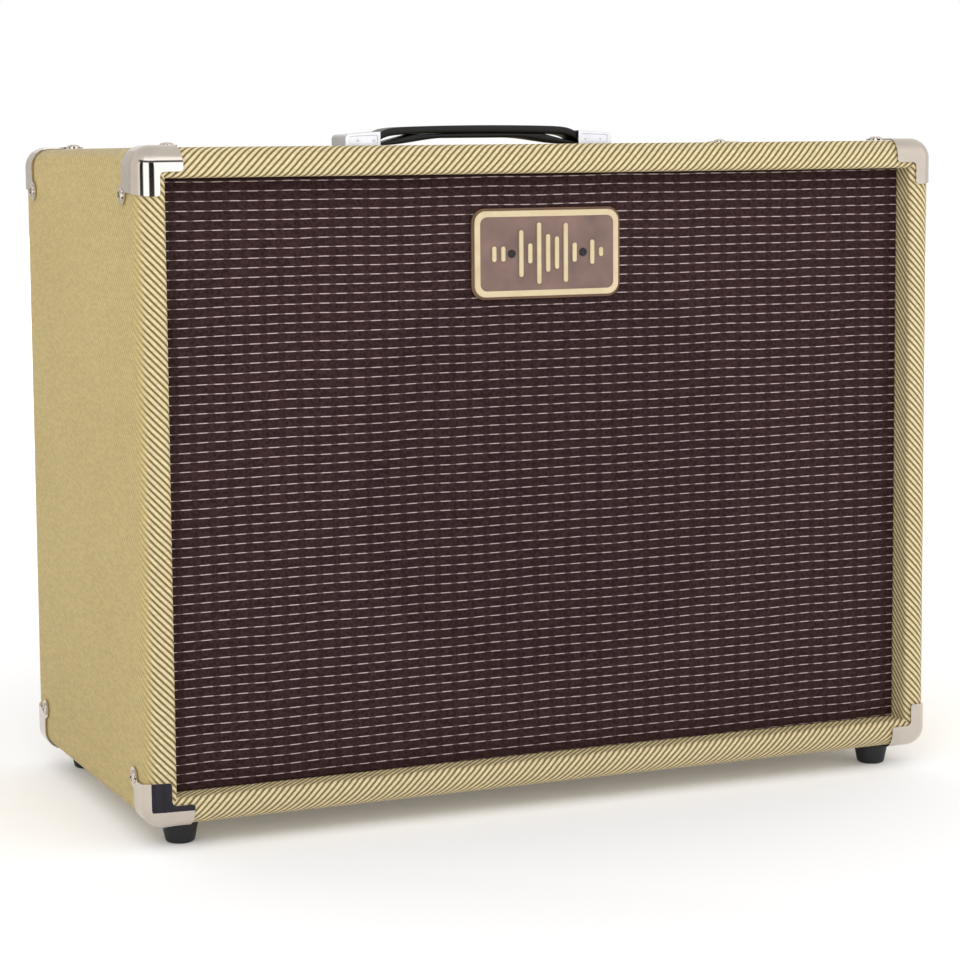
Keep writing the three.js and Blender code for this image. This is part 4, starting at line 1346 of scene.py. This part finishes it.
def fitting(name, node, meshes, place, flip=False, look="satin_nickel"):
    """One piece from several turned meshes, standing for a panel-mounted CAD node."""
    mesh = joined(name, meshes)
    matrix = Matrix.Translation(place)
    if flip:
        matrix = matrix @ Matrix.Rotation(math.pi, 4, "X")
    mesh.transform(matrix)
    piece = add_object(name, mesh, ROOT, [look], 30)
    if node:
        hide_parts(node)
    return piece


def add_jack(node, flip):
    """A socket: nickel nut and threaded bush outside, a black moulded body behind the plates."""
    low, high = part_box(node)
    centre = middle(node)
    depth = high.z - low.z
    nut = 2.3 * MM
    body_radius = (high.x - low.x) / 2
    face = low.z + nut if flip else high.z - nut
    place = (centre.x, centre.y, face)
    bore = 3.35 * MM
    reach = depth - nut
    plates = (1.9 if flip else 3.7) * MM
    front = [
        hexagon(8 * MM, 0.8 * MM, PLATING_GAP, nut),
        threaded_tube(4.75 * MM, bore, -plates, nut + 0.9 * MM),
    ]
    fitting(f"{node}_nut", None, front, place, flip, "satin_nickel")
    body = [
        (bore, -reach + 1 * MM), (0.1 * MM, -reach + 1 * MM), (0.1 * MM, -reach),
        (body_radius - 1 * MM, -reach), (body_radius, -reach + 1 * MM), (body_radius, -plates - 0.6 * MM),
        (body_radius - 0.6 * MM, -plates), (bore, -plates), (bore, -reach + 1 * MM),
    ]
    fitting(f"{node}_body", node, [lathe_mesh("body", body, 40)], place, flip, "socket")


def add_potentiometer(name):
    """A potentiometer's can under the chassis, with its nut and bush through the panel."""
    node = f"{name}_potentiometer"
    low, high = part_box(node)
    centre = middle(node)
    body_top = under_chassis()
    radius = (high.x - low.x) / 2
    can = [
        (0, low.z), (radius - 1.5 * MM, low.z), (radius, low.z + 1.2 * MM), (radius, body_top - 1.6 * MM),
        (radius, body_top), (5 * MM, body_top), (5 * MM, body_top - 1 * MM), (0, body_top - 1 * MM),
    ]
    nut_top = NUT_BASE + NUT_HEIGHT
    meshes = [
        lathe_mesh("can", can, 48),
        hexagon(7.5 * MM, 0.8 * MM, NUT_BASE, nut_top),
        threaded_tube(4.7 * MM, 3.15 * MM, body_top - 1 * MM, nut_top + 0.5 * MM),
    ]
    fitting(node + "_metal", node, meshes, (centre.x, centre.y, 0))


def under_chassis():
    """The underside of the chassis's top plate, where the controls' bodies start."""
    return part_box("volume_potentiometer")[0].z + POT_CAN


def add_knob(name):
    """A fluted knob with a white line, on its shaft."""
    node = f"{name}_knob"
    body = f"{name}_control"
    low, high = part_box(node)
    centre = middle(node)
    base = high.z - 14.4 * MM
    skirt = 12.5 * MM
    grip = 9.3 * MM
    flutes = 16

    def ripple(angle, radius, height):
        on_grip = smoothstep((height - base - 3.6 * MM) / (1.5 * MM))
        on_grip *= smoothstep((radius - 6.5 * MM) / (2 * MM))
        return radius - on_grip * 0.55 * MM * (0.5 - 0.5 * math.cos(flutes * angle)) ** 3

    outline = [(0, base), (skirt - 0.4 * MM, base), (skirt, base + 0.4 * MM), (skirt, base + 1.6 * MM)]
    outline += [(skirt - 0.5 * MM, base + 2.1 * MM), (grip + 0.9 * MM, base + 3.4 * MM)]
    outline += [(grip, base + 4.6 * MM), (grip - 0.35 * MM, high.z - 5 * MM)]
    outline += [(grip - 0.6 * MM, high.z - 1.6 * MM)]
    outline += [(grip - 1.1 * MM, high.z - 0.5 * MM), (grip - 2.0 * MM, high.z - 0.1 * MM)]
    outline += [(grip - 2.6 * MM, high.z), (grip - 3.0 * MM, high.z - 0.35 * MM), (0, high.z - 0.35 * MM)]
    place = (centre.x, CONTROL_Y, 0)
    head = lathe_mesh(f"{node}_head", outline, 128, origin=place, ripple=ripple)
    shaft = lathe_mesh("shaft", [(0, low.z), (3 * MM, low.z), (3 * MM, base), (0, base)], 32, origin=place)
    grip_piece = add_object(f"{node}_head", head, body, ["bakelite"], 45)
    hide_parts(node)
    add_object(f"{node}_shaft", shaft, body, ["satin_nickel"], 35)
    half = 0.45 * MM
    top = high.z
    line = [
        block("line", (-half, 1.5 * MM, top - 0.4 * MM), (half, grip - 2.7 * MM, top - 0.2 * MM)),
        block("line", (-half, grip - 0.3 * MM, base + 3.3 * MM), (half, skirt - 0.2 * MM, base + 3.5 * MM)),
        block("line", (-half, grip - 1.2 * MM, base + 3.4 * MM), (half, grip + 0.05 * MM, top - 2.0 * MM)),
    ]
    mark = joined("line", line)
    mark.transform(Matrix.Translation(place))
    add_object(f"{node}_line", mark, body, ["white_print"], 35)


def add_switch(name):
    """A toggle switch: its case and bush stay, and its bat lever turns."""
    node = f"{name}_switch_body"
    low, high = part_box(node)
    centre = middle(node)
    top = under_chassis()
    case = rounded_block("case", (-7.4 * MM, -13.9 * MM, low.z), (7.4 * MM, 13.9 * MM, top), 1 * MM, 2)
    meshes = [
        case,
        hexagon(9 * MM, 0.9 * MM, NUT_BASE, NUT_BASE + NUT_HEIGHT),
        threaded_tube(5.75 * MM, 4.5 * MM, top - 1 * MM, high.z),
    ]
    fitting(node + "_metal", node, meshes, (centre.x, centre.y, 0))
    lever = f"{name}_switch_lever"
    joint = next(j for j in frame["record"]["behaviour"]["joints"] if j["name"] == f"{name}_toggle")
    profile = [(0, -3), (1.6, -2.6), (2.6, -1.5), (3, 0), (2.6, 1.5), (1.9, 2.6), (1.7, 4), (1.75, 9)]
    profile += [(2.1, 12), (2.7, 15), (3.1, 17.6), (3.05, 19), (2.6, 20.2), (1.6, 20.9), (0, 21)]
    bat = lathe_mesh(f"{lever}_bat", mm_points(profile), 40)
    matrix = Matrix.Translation(joint["pos_m"]) @ Matrix.Rotation(math.radians(LEVER_REST), 4, "X")
    bat.transform(matrix)
    piece = add_object(f"{lever}_bat", bat, f"{name}_lever", ["chrome"], 60)
    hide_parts(lever)


def add_lamp():
    """A faceted red jewel in a chrome bezel."""
    low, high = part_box("pilot_lamp")
    centre = middle("pilot_lamp")
    base = NUT_BASE
    place = (centre.x, CONTROL_Y, 0)
    bezel = [
        (0, low.z), (7 * MM, low.z), (7 * MM, base), (9.5 * MM, base), (9.5 * MM, base + 1.4 * MM),
        (8.9 * MM, base + 2.3 * MM), (7.9 * MM, base + 2.8 * MM), (7.2 * MM, base + 2.2 * MM),
        (0, base + 2.0 * MM),
    ]
    lathe("pilot_lamp_bezel", bezel, look="chrome", slot="lamp", segments=48, origin=place)
    jewel = [
        (7.3 * MM, base + 2.0 * MM), (7.3 * MM, base + 3.6 * MM), (6.6 * MM, base + 7.6 * MM),
        (4.2 * MM, high.z - 1.2 * MM), (2.2 * MM, high.z - 0.2 * MM), (0, high.z),
    ]
    piece = lathe("pilot_lamp_jewel", jewel, look="lamp", smooth=0, slot="lamp", segments=12, origin=place)
    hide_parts("pilot_lamp")


def add_control_panel():
    """The panel with its marks, screws, sockets, knobs, switches and lamp."""
    paint_node("control_panel", "panel", 0.3 * MM)
    paint_node("chassis", "steel", 0.5 * MM)
    prints = []
    for name in CONTROLS:
        prints += dial_meshes(middle(f"{name}_knob").x)
    add_object("dial_marks", joined("dial_marks", prints), ROOT, ["black_print"], 35)
    for side_x, side_name in SIDES:
        for side_y, depth_name in DEPTHS:
            x = side_x * (PANEL_HIGH.x - 7 * MM)
            y = CONTROL_Y + side_y * ((PANEL_HIGH.y - PANEL_LOW.y) / 2 - 7 * MM)
            place = (x, y, PANEL_FACE)
            name = f"panel_screw_{side_name}_{depth_name}"
            add_screw(name, "small", place, (0, 0, 1), 37 * side_x + 11 * side_y)
    for node in ("input_jack_1", "input_jack_2"):
        add_jack(node, False)
    for name in CONTROLS:
        add_potentiometer(name)
        add_knob(name)
    for name in SWITCHES:
        add_switch(name)
    add_lamp()


def paint_node(node, look, bevel=0.0):
    """Keeps a CAD node's shape, and gives it a material and slightly rounded edges."""
    item = frame["nodes"][node]
    for slot in item.material_slots:
        slot.material = LOOKS[look]
    if bevel:
        bevelled(item, bevel, 2, 50)


# ---- Electronics ----
def add_transformer(node):
    """A laminated core, two rounded end bells, and a nut at each corner of the core's two faces."""
    low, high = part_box(node)
    centre = (low + high) / 2
    stack = 32 * MM if node == "power_transformer" else 24 * MM
    core_low = (centre.x - stack / 2, low.y, low.z)
    core_high = (centre.x + stack / 2, high.y, high.z)
    core = rounded_block("core", core_low, core_high, 0.5 * MM, 2)
    piece = add_object(f"{node}_core", core, ROOT, ["laminations"], 35)
    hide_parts(node)
    inset = 5 * MM
    bells = []
    for side, outer in ((-1, low.x), (1, high.x)):
        near, far = sorted((centre.x + side * (stack / 2 - 1 * MM), outer))
        bell_low = (near, low.y + inset, low.z + inset)
        bell_high = (far, high.y - inset, high.z - inset)
        bells.append(rounded_block("bell", bell_low, bell_high, 7 * MM, 6))
    add_object(f"{node}_bells", joined("bells", bells), ROOT, ["black_steel"], 35)
    edge = 4 * MM
    for side_y in (-1, 1):
        for side_z in (-1, 1):
            y = centre.y + side_y * ((high.y - low.y) / 2 - edge)
            z = centre.z + side_z * ((high.z - low.z) / 2 - edge)
            for side in (-1, 1):
                place = turned_towards((side, 0, 0), (centre.x + side * stack / 2, y, z))
                name = f"{node}_bolt_{side + 1}{side_y + 1}{side_z + 1}"
                nut = hexagon(3.2 * MM, 0.4 * MM, 0, 2 * MM)
                add_object(name, nut, ROOT, ["steel"], 30, place)


def add_valve(node, power):
    """Hanging glass with its anode and getter inside, in a moulded base or a nine-pin socket."""
    low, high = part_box(node)
    centre = middle(node)
    radius = (13.5 if power else 10.5) * MM
    base = (24 if power else 8) * MM
    neck = high.z - base
    end = low.z
    place = (centre.x, centre.y, 0)
    shoulder = radius * 0.9
    outline = [(0, end)] if power else [(0, end), (1.2 * MM, end + 0.6 * MM), (1.6 * MM, end + 2.6 * MM)]
    start = end if power else end + 3 * MM
    for k in range(1, 9):
        angle = math.radians(90 * k / 8)
        outline.append((radius * math.sin(angle), start + shoulder * (1 - math.cos(angle))))
    outline += [(radius, neck - 3 * MM), (radius * 0.96, neck - 0.5 * MM)]
    outline += [(radius * 0.9, neck + 1 * MM), (0, neck + 1 * MM)]
    glass = lathe(f"{node}_glass", outline, look="glass", smooth=50, slot="glass", origin=place)
    glass.modifiers.new("wall", "SOLIDIFY").thickness = 0.8 * MM
    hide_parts(node)
    silver = []
    reach = radius - 1.0 * MM
    for k in range(7):
        angle = math.radians(12 + 66 * k / 6)
        rise = (shoulder - 0.9 * MM) * (1 - math.cos(angle))
        silver.append((reach * math.sin(angle), start + 1.0 * MM + rise))
    options = {"segments": 40, "origin": place}
    getter = lathe(f"{node}_getter", silver, look="getter", smooth=60, slot="glass", **options)
    getter.modifiers.new("thickness", "SOLIDIFY").thickness = 0.15 * MM
    plate_low = start + shoulder + 3 * MM
    plate_high = neck - 4 * MM
    half_x = fin_reach = radius * 0.62
    half_y = radius * 0.38
    section = rounded_rectangle(-half_x, half_x, -half_y, half_y, 1.5 * MM, 4)
    parts = [prism("anode", section, plate_low, plate_high)]
    for x in (-half_x, half_x):
        near = (x - 0.3 * MM, -fin_reach, plate_low + 2 * MM)
        far = (x + 0.3 * MM, fin_reach, plate_high - 2 * MM)
        parts.append(block("fin", near, far))
    for z in (plate_low - 1 * MM, plate_high + 0.5 * MM):
        disc = [(0, z), (radius * 0.86, z), (radius * 0.86, z + 0.5 * MM), (0, z + 0.5 * MM)]
        parts.append(lathe_mesh("mica", disc, 32))
    anode = joined("anode", parts)
    anode.transform(Matrix.Translation(place))
    add_object(f"{node}_anode", anode, ROOT, ["plate_metal"], 35)
    wide = (15 if power else 10.5) * MM
    collar = [
        (0, neck), (radius * 0.95, neck), (wide - 1 * MM, neck + 0.6 * MM), (wide, neck + 2 * MM),
        (wide, high.z - 4 * MM), (wide - 0.8 * MM, high.z - 3.6 * MM), (wide - 0.8 * MM, high.z), (0, high.z),
    ]
    look = "tube_base" if power else "socket"
    lathe(f"{node}_base", collar, look=look, slot="glass", segments=48, origin=place)


def add_power_inlet():
    """A flanged mains socket with three blades and two screws."""
    low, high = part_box("power_inlet")
    centre = middle("power_inlet")
    flange = 2.2 * MM
    body = rounded_block("body", (-14 * MM, -10 * MM, 0), (14 * MM, 10 * MM, high.z - low.z), 1 * MM, 2)
    half_outline = [(-22, -4), (-14, -14), (14, -14), (22, -4)]
    corners = half_outline + [(-x, -y) for x, y in half_outline]
    outline = filleted(mm_points([(x, y, 3) for x, y in corners]), 4)
    plate = prism("plate", outline, 0, flange)
    mouth = [(-12, -8, 1), (12, -8, 1), (12, 4, 1), (8, 8, 1), (-8, 8, 1), (-12, 4, 1)]
    socket = prism("socket", filleted(mm_points(mouth), 3), -2 * MM, 20 * MM)
    mesh = combined("inlet", body, [("UNION", plate), ("DIFFERENCE", socket)])
    mesh.transform(Matrix.Translation((centre.x, centre.y, low.z)))
    piece = add_object("power_inlet_moulding", mesh, ROOT, ["socket"], 35)
    bevelled(piece, 0.4 * MM, 2, 50)
    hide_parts("power_inlet")
    blades = []
    for x, y in ((-7, 2.5), (7, 2.5), (0, -2.5)):
        blade = rounded_block("blade", (-1 * MM, -2 * MM, 8 * MM), (1 * MM, 2 * MM, 20.5 * MM), 0.4 * MM, 2)
        blade.transform(Matrix.Translation((centre.x + x * MM, centre.y + y * MM, low.z)))
        blades.append(blade)
    add_object("power_inlet_blades", joined("blades", blades), ROOT, ["nickel"], 35)
    for side, side_name in SIDES:
        place = (centre.x + side * 18 * MM, centre.y, low.z)
        add_screw(f"power_inlet_screw_{side_name}", "small", place, (0, 0, -1), 25 * side)


def add_reverb_tank():
    """The tank with its two phono sockets, one with a red collar and one with a white one, and its screws."""
    paint_node("reverb_tank", "steel", 0.6 * MM)
    low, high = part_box("reverb_tank")
    sleeve = mm_points([
        (0, 0), (5, 0), (5, 2), (4.2, 2.4), (4.2, 9), (3.4, 9.4), (1.6, 9.4), (1.6, 3), (0, 3),
    ])
    ring = mm_points([(5.1, 0.1), (7, 0.1), (7, 1.4), (5.1, 1.4), (5.1, 0.1)])
    for side, colour, name in ((-1, "lamp_red", "in"), (1, "white_print", "out")):
        place = turned_towards((0, 1, 0), (side * 160 * MM, high.y, low.z + 18 * MM))
        for part, outline, look in (("socket", sleeve, "nickel"), ("collar", ring, colour)):
            mesh = lathe_mesh(part, outline, 32)
            add_object(f"reverb_{name}_{part}", mesh, ROOT, [look], 35, place)
    foot = low.z + 1.2 * MM
    for side, side_name in SIDES:
        for depth_name, y in (("front", low.y + 14 * MM), ("rear", high.y - 14 * MM)):
            place = (side * (high.x - 6.5 * MM), y, foot)
            add_screw(f"tank_screw_{side_name}_{depth_name}", "small", place, (0, 0, 1), 19 * side)


def add_circuit_board():
    """The fibre board, with two rows of capacitors and resistors lying on it."""
    paint_node("circuit_board", "board", 0.2 * MM)
    low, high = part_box("circuit_board")
    capacitors = []
    resistors = []
    for row, y in enumerate((low.y + 16 * MM, high.y - 16 * MM)):
        for k in range(12):
            x = low.x + (18 + 24 * k) * MM
            if (k + row) % 3 == 0:
                radius, length, group = 4.2 * MM, 17 * MM, capacitors
            else:
                radius, length, group = 1.8 * MM, 8 * MM, resistors
            half = length / 2
            edge = radius * 0.35
            outline = [(0, -half), (radius - edge, -half), (radius, -half + edge)]
            outline += [(r, -z) for r, z in reversed(outline)]
            tip = half + 4 * MM
            wire = [(0, -tip), (0.4 * MM, -tip), (0.4 * MM, tip), (0, tip)]
            place = (0, y, high.z + radius + 0.3 * MM)
            for profile in (outline, wire):
                mesh = lathe_mesh("component", [(r, x + z) for r, z in profile], 20, "X", place)
                group.append(mesh)
    add_object("board_capacitors", joined("capacitors", capacitors), ROOT, ["capacitor"], 35)
    add_object("board_resistors", joined("resistors", resistors), ROOT, ["resistor"], 35)


# ---- Speaker ----
SPEAKER_ORIGIN = Vector((SPEAKER_CENTRE.x, BAFFLE_REAR, SPEAKER_CENTRE.z))


def turned_about_speaker(name, points, look, body=ROOT, smooth=35):
    """A turned piece of the speaker, from (radius, depth behind the baffle) points."""
    mesh = lathe_mesh(name, points, 96, "Y", SPEAKER_ORIGIN)
    return add_object(name, mesh, body, [look], smooth)


def add_speaker_frame():
    """Pressed basket: rim with a rolled edge, four arms between rounded windows, and a hub plate."""
    profile = mm_points([
        (46, 72), (74, 70.6), (78, 67.5), (134, 19.5), (138.5, 15), (139.6, 10), (140, 0.3),
        (152.2, 0.3), (152.5, 3), (151, 3.4), (150, 2.3), (143, 2.3), (141.6, 10), (140.4, 16.2),
        (136, 21), (80, 69.3), (75, 73.6), (46, 74), (46, 72),
    ])
    shell = lathe_mesh("basket", profile, 96, "Y", SPEAKER_ORIGIN)
    near, far, half = 82, 128, 46
    tight, wide = 9, 14
    corners = [(near, -half, tight), (far, -half, wide), (far, half, wide), (near, half, tight)]
    window = prism("window", filleted(mm_points(corners), 6), 14 * MM, 90 * MM, "Y")
    cutters = []
    for k in range(4):
        cutter = window.copy()
        turn = Matrix.Rotation(math.radians(-90 * k), 4, "Y")
        cutter.transform(Matrix.Translation(SPEAKER_ORIGIN) @ turn)
        cutters.append(("DIFFERENCE", cutter))
    mesh = combined("basket", shell, cutters)
    piece = add_object("speaker_basket", mesh, ROOT, ["black_steel"], 35)
    bevelled(piece, 0.5 * MM, 2, 50)
    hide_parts("speaker_frame")
    ring = mm_points([(141.5, 0), (151.5, 0), (151.5, 0.28), (141.5, 0.28), (141.5, 0)])
    turned_about_speaker("speaker_gasket", ring, "gasket")
    for k in range(8):
        x, z = circle_point(146.4 * MM, 22.5 + 45 * k)
        place = turned_towards((0, 1, 0), SPEAKER_ORIGIN + Vector((x, 2.4 * MM, z)))
        nut = hexagon(4.6 * MM, 0.5 * MM, 0, 3.4 * MM)
        add_object(f"speaker_nut_{k}", nut, ROOT, ["steel"], 30, place)


def add_speaker_magnet():
    """Front plate, ferrite ring and back plate, with the pole piece inside."""
    plates = mm_points([
        (0, 68.3), (20, 68.3), (20.5, 68.8), (20.5, 100.3), (24.5, 100.3), (24.5, 74.3), (61.4, 74.3),
        (62, 74.9), (62, 80.3), (30, 80.3), (30, 102.3), (62, 102.3), (62, 103), (60, 110.3), (12, 110.3),
        (10, 108), (0, 108),
    ])
    piece = turned_about_speaker("speaker_magnet_plates", plates, "steel")
    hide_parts("speaker_magnet")
    ferrite = mm_points([
        (30.5, 80.5), (71, 80.5), (73, 82.5), (73, 100), (71, 102.1), (30.5, 102.1), (30.5, 80.5),
    ])
    turned_about_speaker("speaker_ferrite", ferrite, "ferrite")


def add_speaker_cone():
    """Paper cone with a rolled surround at its edge, a dust cap, and the coil on its former."""
    body = "speaker_motor"
    cone = mm_points([
        (23.1, 52.0), (40, 43.8), (60, 34.8), (85, 22.2), (100, 15.0), (112, 9.0), (114.5, 6.6),
        (117, 5.6), (119.5, 6.6), (122, 7.9), (124.5, 6.8), (127, 5.6), (129.5, 6.4), (133, 5.5),
        (133, 6.5), (129.5, 7.3), (127, 6.6), (124.5, 7.8), (122, 8.9), (119.5, 7.6), (117, 6.6),
        (114.9, 7.6), (112.6, 10.1),
        (100.6, 16.1), (85.6, 23.4), (60.6, 36.0), (40.6, 45.0), (23.1, 53.3), (23.1, 52.0),
    ])
    piece = turned_about_speaker("speaker_paper", cone, "paper", body, smooth=40)
    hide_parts("speaker_cone")
    cap = mm_points([
        (0, 33), (9, 34), (18, 37), (27, 41.3), (34, 45.4),
        (34, 46.2), (26.6, 42.4), (17.5, 38.1), (9, 35), (0, 34.1),
    ])
    dome = turned_about_speaker("speaker_dust_cap", cap, "paper", body, smooth=40)
    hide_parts("dust_cap")
    coil = mm_points([
        (21.75, 47), (22.2, 47), (22.2, 76), (22.65, 76.2), (22.65, 92), (21.75, 92), (21.75, 47),
    ])
    former = turned_about_speaker("speaker_coil", coil, "copper", body, smooth=35)
    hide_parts("voice_coil")


def add_speaker():
    """The whole loudspeaker."""
    add_speaker_frame()
    add_speaker_magnet()
    add_speaker_cone()


def add_electronics():
    """What hangs under the chassis and lies inside the cabinet."""
    add_transformer("power_transformer")
    add_transformer("output_transformer")
    for k in (1, 2):
        add_valve(f"power_tube_{k}", True)
    for k in (1, 2, 3):
        add_valve(f"preamp_tube_{k}", False)
    add_jack("speaker_jack", True)
    add_power_inlet()
    add_reverb_tank()
    add_circuit_board()


def add_wood():
    """Bare wooden nodes keep their CAD shape, with slightly rounded edges."""
    for node in ("baffle_board", "grille_frame"):
        paint_node(node, "wood", 0.4 * MM)
    for node in ("back_cleat_left", "back_cleat_right"):
        paint_node(node, "wood", 0.6 * MM)


add_camera()
add_boards()
add_protectors()
add_feet()
add_handle_caps()
add_strap()
add_grille_cloth()
add_badge()
add_back()
add_wood()
add_control_panel()
add_electronics()
add_speaker()


# ---- Stage ----
def add_stage():
    """A pale floor that brightens into the white behind it."""
    bm = bmesh.new()
    bmesh.ops.create_grid(bm, x_segments=1, y_segments=1, size=12)
    mesh = bare_mesh("floor", bm)
    look = Look("floor_paper", Roughness=0.9)
    place = look.object_place()
    look.colour(look.mix(look.noise(place, 2.0, 2), (0.93, 0.93, 0.93, 1), (0.95, 0.95, 0.95, 1)))
    x, y, _ = look.axes(place)
    away = look.math("SQRT", look.math("MULTIPLY_ADD", x, x, look.times(y, y)))
    glow = look.range(away, 0.4, 3.0, 0.1, 0.6, smooth=True)
    look.put(look.shader.inputs["Emission Color"], (1.0, 1.0, 1.0, 1.0))
    look.put(look.shader.inputs["Emission Strength"], glow)
    mesh.materials.append(look.material)
    floor = bpy.data.objects.new("floor", mesh)
    bpy.context.scene.collection.objects.link(floor)


def add_flag():
    """A dark blue card on the floor round the near corner. Only the plating there shows it."""
    centre = Vector((-268 * MM, FRONT))
    steps = 24
    inner, outer = (
        [centre + Vector(circle_point(radius, -40 - 125 * k / steps)) for k in range(steps + 1)]
        for radius in (58 * MM, 460 * MM)
    )
    mesh = prism("flag", inner + outer[::-1], 1 * MM, 2 * MM)
    add_card("floor_flag", mesh, rgb(8, 11, 26), rgb(30, 38, 74))


def add_side_card():
    """A grey card standing behind the left side, which the plating on that side shows."""
    near = Vector((-1.0, 0.45))
    far = Vector((-0.25, 0.80))
    thick = Vector((-0.01, 0.02))
    mesh = prism("card", [near, far, far + thick, near + thick], 0.001, 0.9)
    add_card("side_card", mesh, rgb(196, 194, 190), rgb(206, 204, 200))


def add_card(name, mesh, dark, pale):
    """Studio card that only reflections show, so that it stays out of every view."""
    look = Look(f"{name}_paper", Roughness=0.8)
    look.colour(look.mix(look.noise(look.object_place(), 14.0, 2), dark, pale))
    mesh.materials.append(look.material)
    card = bpy.data.objects.new(name, mesh)
    bpy.context.scene.collection.objects.link(card)
    card.visible_camera = False
    card.visible_diffuse = False
    card.visible_shadow = False
    card.visible_transmission = False


def add_light(name, place, target, size, power):
    """A white area light that lights the piece without showing in its plating."""
    light = bpy.data.lights.new(name, "AREA")
    light.shape = "RECTANGLE"
    light.size, light.size_y = size
    light.energy = power
    holder = bpy.data.objects.new(name, light)
    holder.location = place
    direction = Vector(target) - Vector(place)
    holder.rotation_euler = direction.to_track_quat("-Z", "Y").to_euler()
    bpy.context.scene.collection.objects.link(holder)
    holder.visible_glossy = False


def add_world():
    """A white studio, brighter in front, whose dark flags and bar show as fine lines in bright metal only.

    What the camera sees past the floor is plain white.
    """
    world = bpy.data.worlds.new("studio")
    world.use_nodes = True
    nodes = Nodes(world.node_tree)
    x, y, z = nodes.axes(nodes.node("ShaderNodeTexCoord", output="Generated"))
    across = nodes.math("DIVIDE", x, nodes.math("ABSOLUTE", y))

    def band(value, low, high, soft):
        rising = nodes.range(value, low - soft, low + soft, smooth=True)
        falling = nodes.range(value, high - soft, high + soft, 1.0, 0.0, smooth=True)
        return nodes.times(rising, falling)

    flags = nodes.math("MAXIMUM", band(across, -0.36, 0.12, 0.06), band(across, -2.4, -1.15, 0.2))
    upright = nodes.range(z, 0.40, 0.58, 1.0, 0.0, smooth=True)
    left_of_middle = nodes.range(across, 0.40, 0.55, 1.0, 0.0, smooth=True)
    bar = nodes.times(band(z, 0.42, 0.58, 0.07), left_of_middle)
    dark = nodes.math("MAXIMUM", nodes.times(flags, upright), bar)
    in_front = nodes.range(y, -0.30, -0.05, 1.0, 0.0, smooth=True)
    overhead = nodes.range(z, 0.55, 0.95, 0.0, 1.0, smooth=True)
    window = nodes.times(in_front, band(across, -1.2, 0.57, 0.1))
    room = nodes.mix(in_front, (0.94, 0.92, 0.90, 1.0), (1.2, 1.18, 1.16, 1.0))
    room = nodes.mix(window, room, (2.05, 2.08, 2.15, 1.0))
    room = nodes.mix(overhead, room, (0.9, 0.89, 0.88, 1.0))
    sky = nodes.mix(nodes.times(dark, in_front), room, (0.03, 0.03, 0.035, 1.0))
    seen = nodes.node("ShaderNodeLightPath", output="Is Camera Ray")
    shown = nodes.mix(seen, sky, (1.0, 1.0, 1.0, 1.0))
    nodes.put(world.node_tree.nodes["Background"].inputs["Color"], shown)
    bpy.context.scene.world = world


def set_view():
    """Plain sRGB, so that the pale floor stays pale."""
    bpy.context.scene.view_settings.view_transform = "Standard"


add_stage()
add_flag()
add_side_card()
add_world()
set_view()
add_light("key", (-1.6, -2.6, 2.3), (0, 0, 0.2), (3.0, 2.4), 34)
add_light("fill", (2.6, -2.0, 1.6), (0, 0, 0.2), (2.6, 2.0), 10)
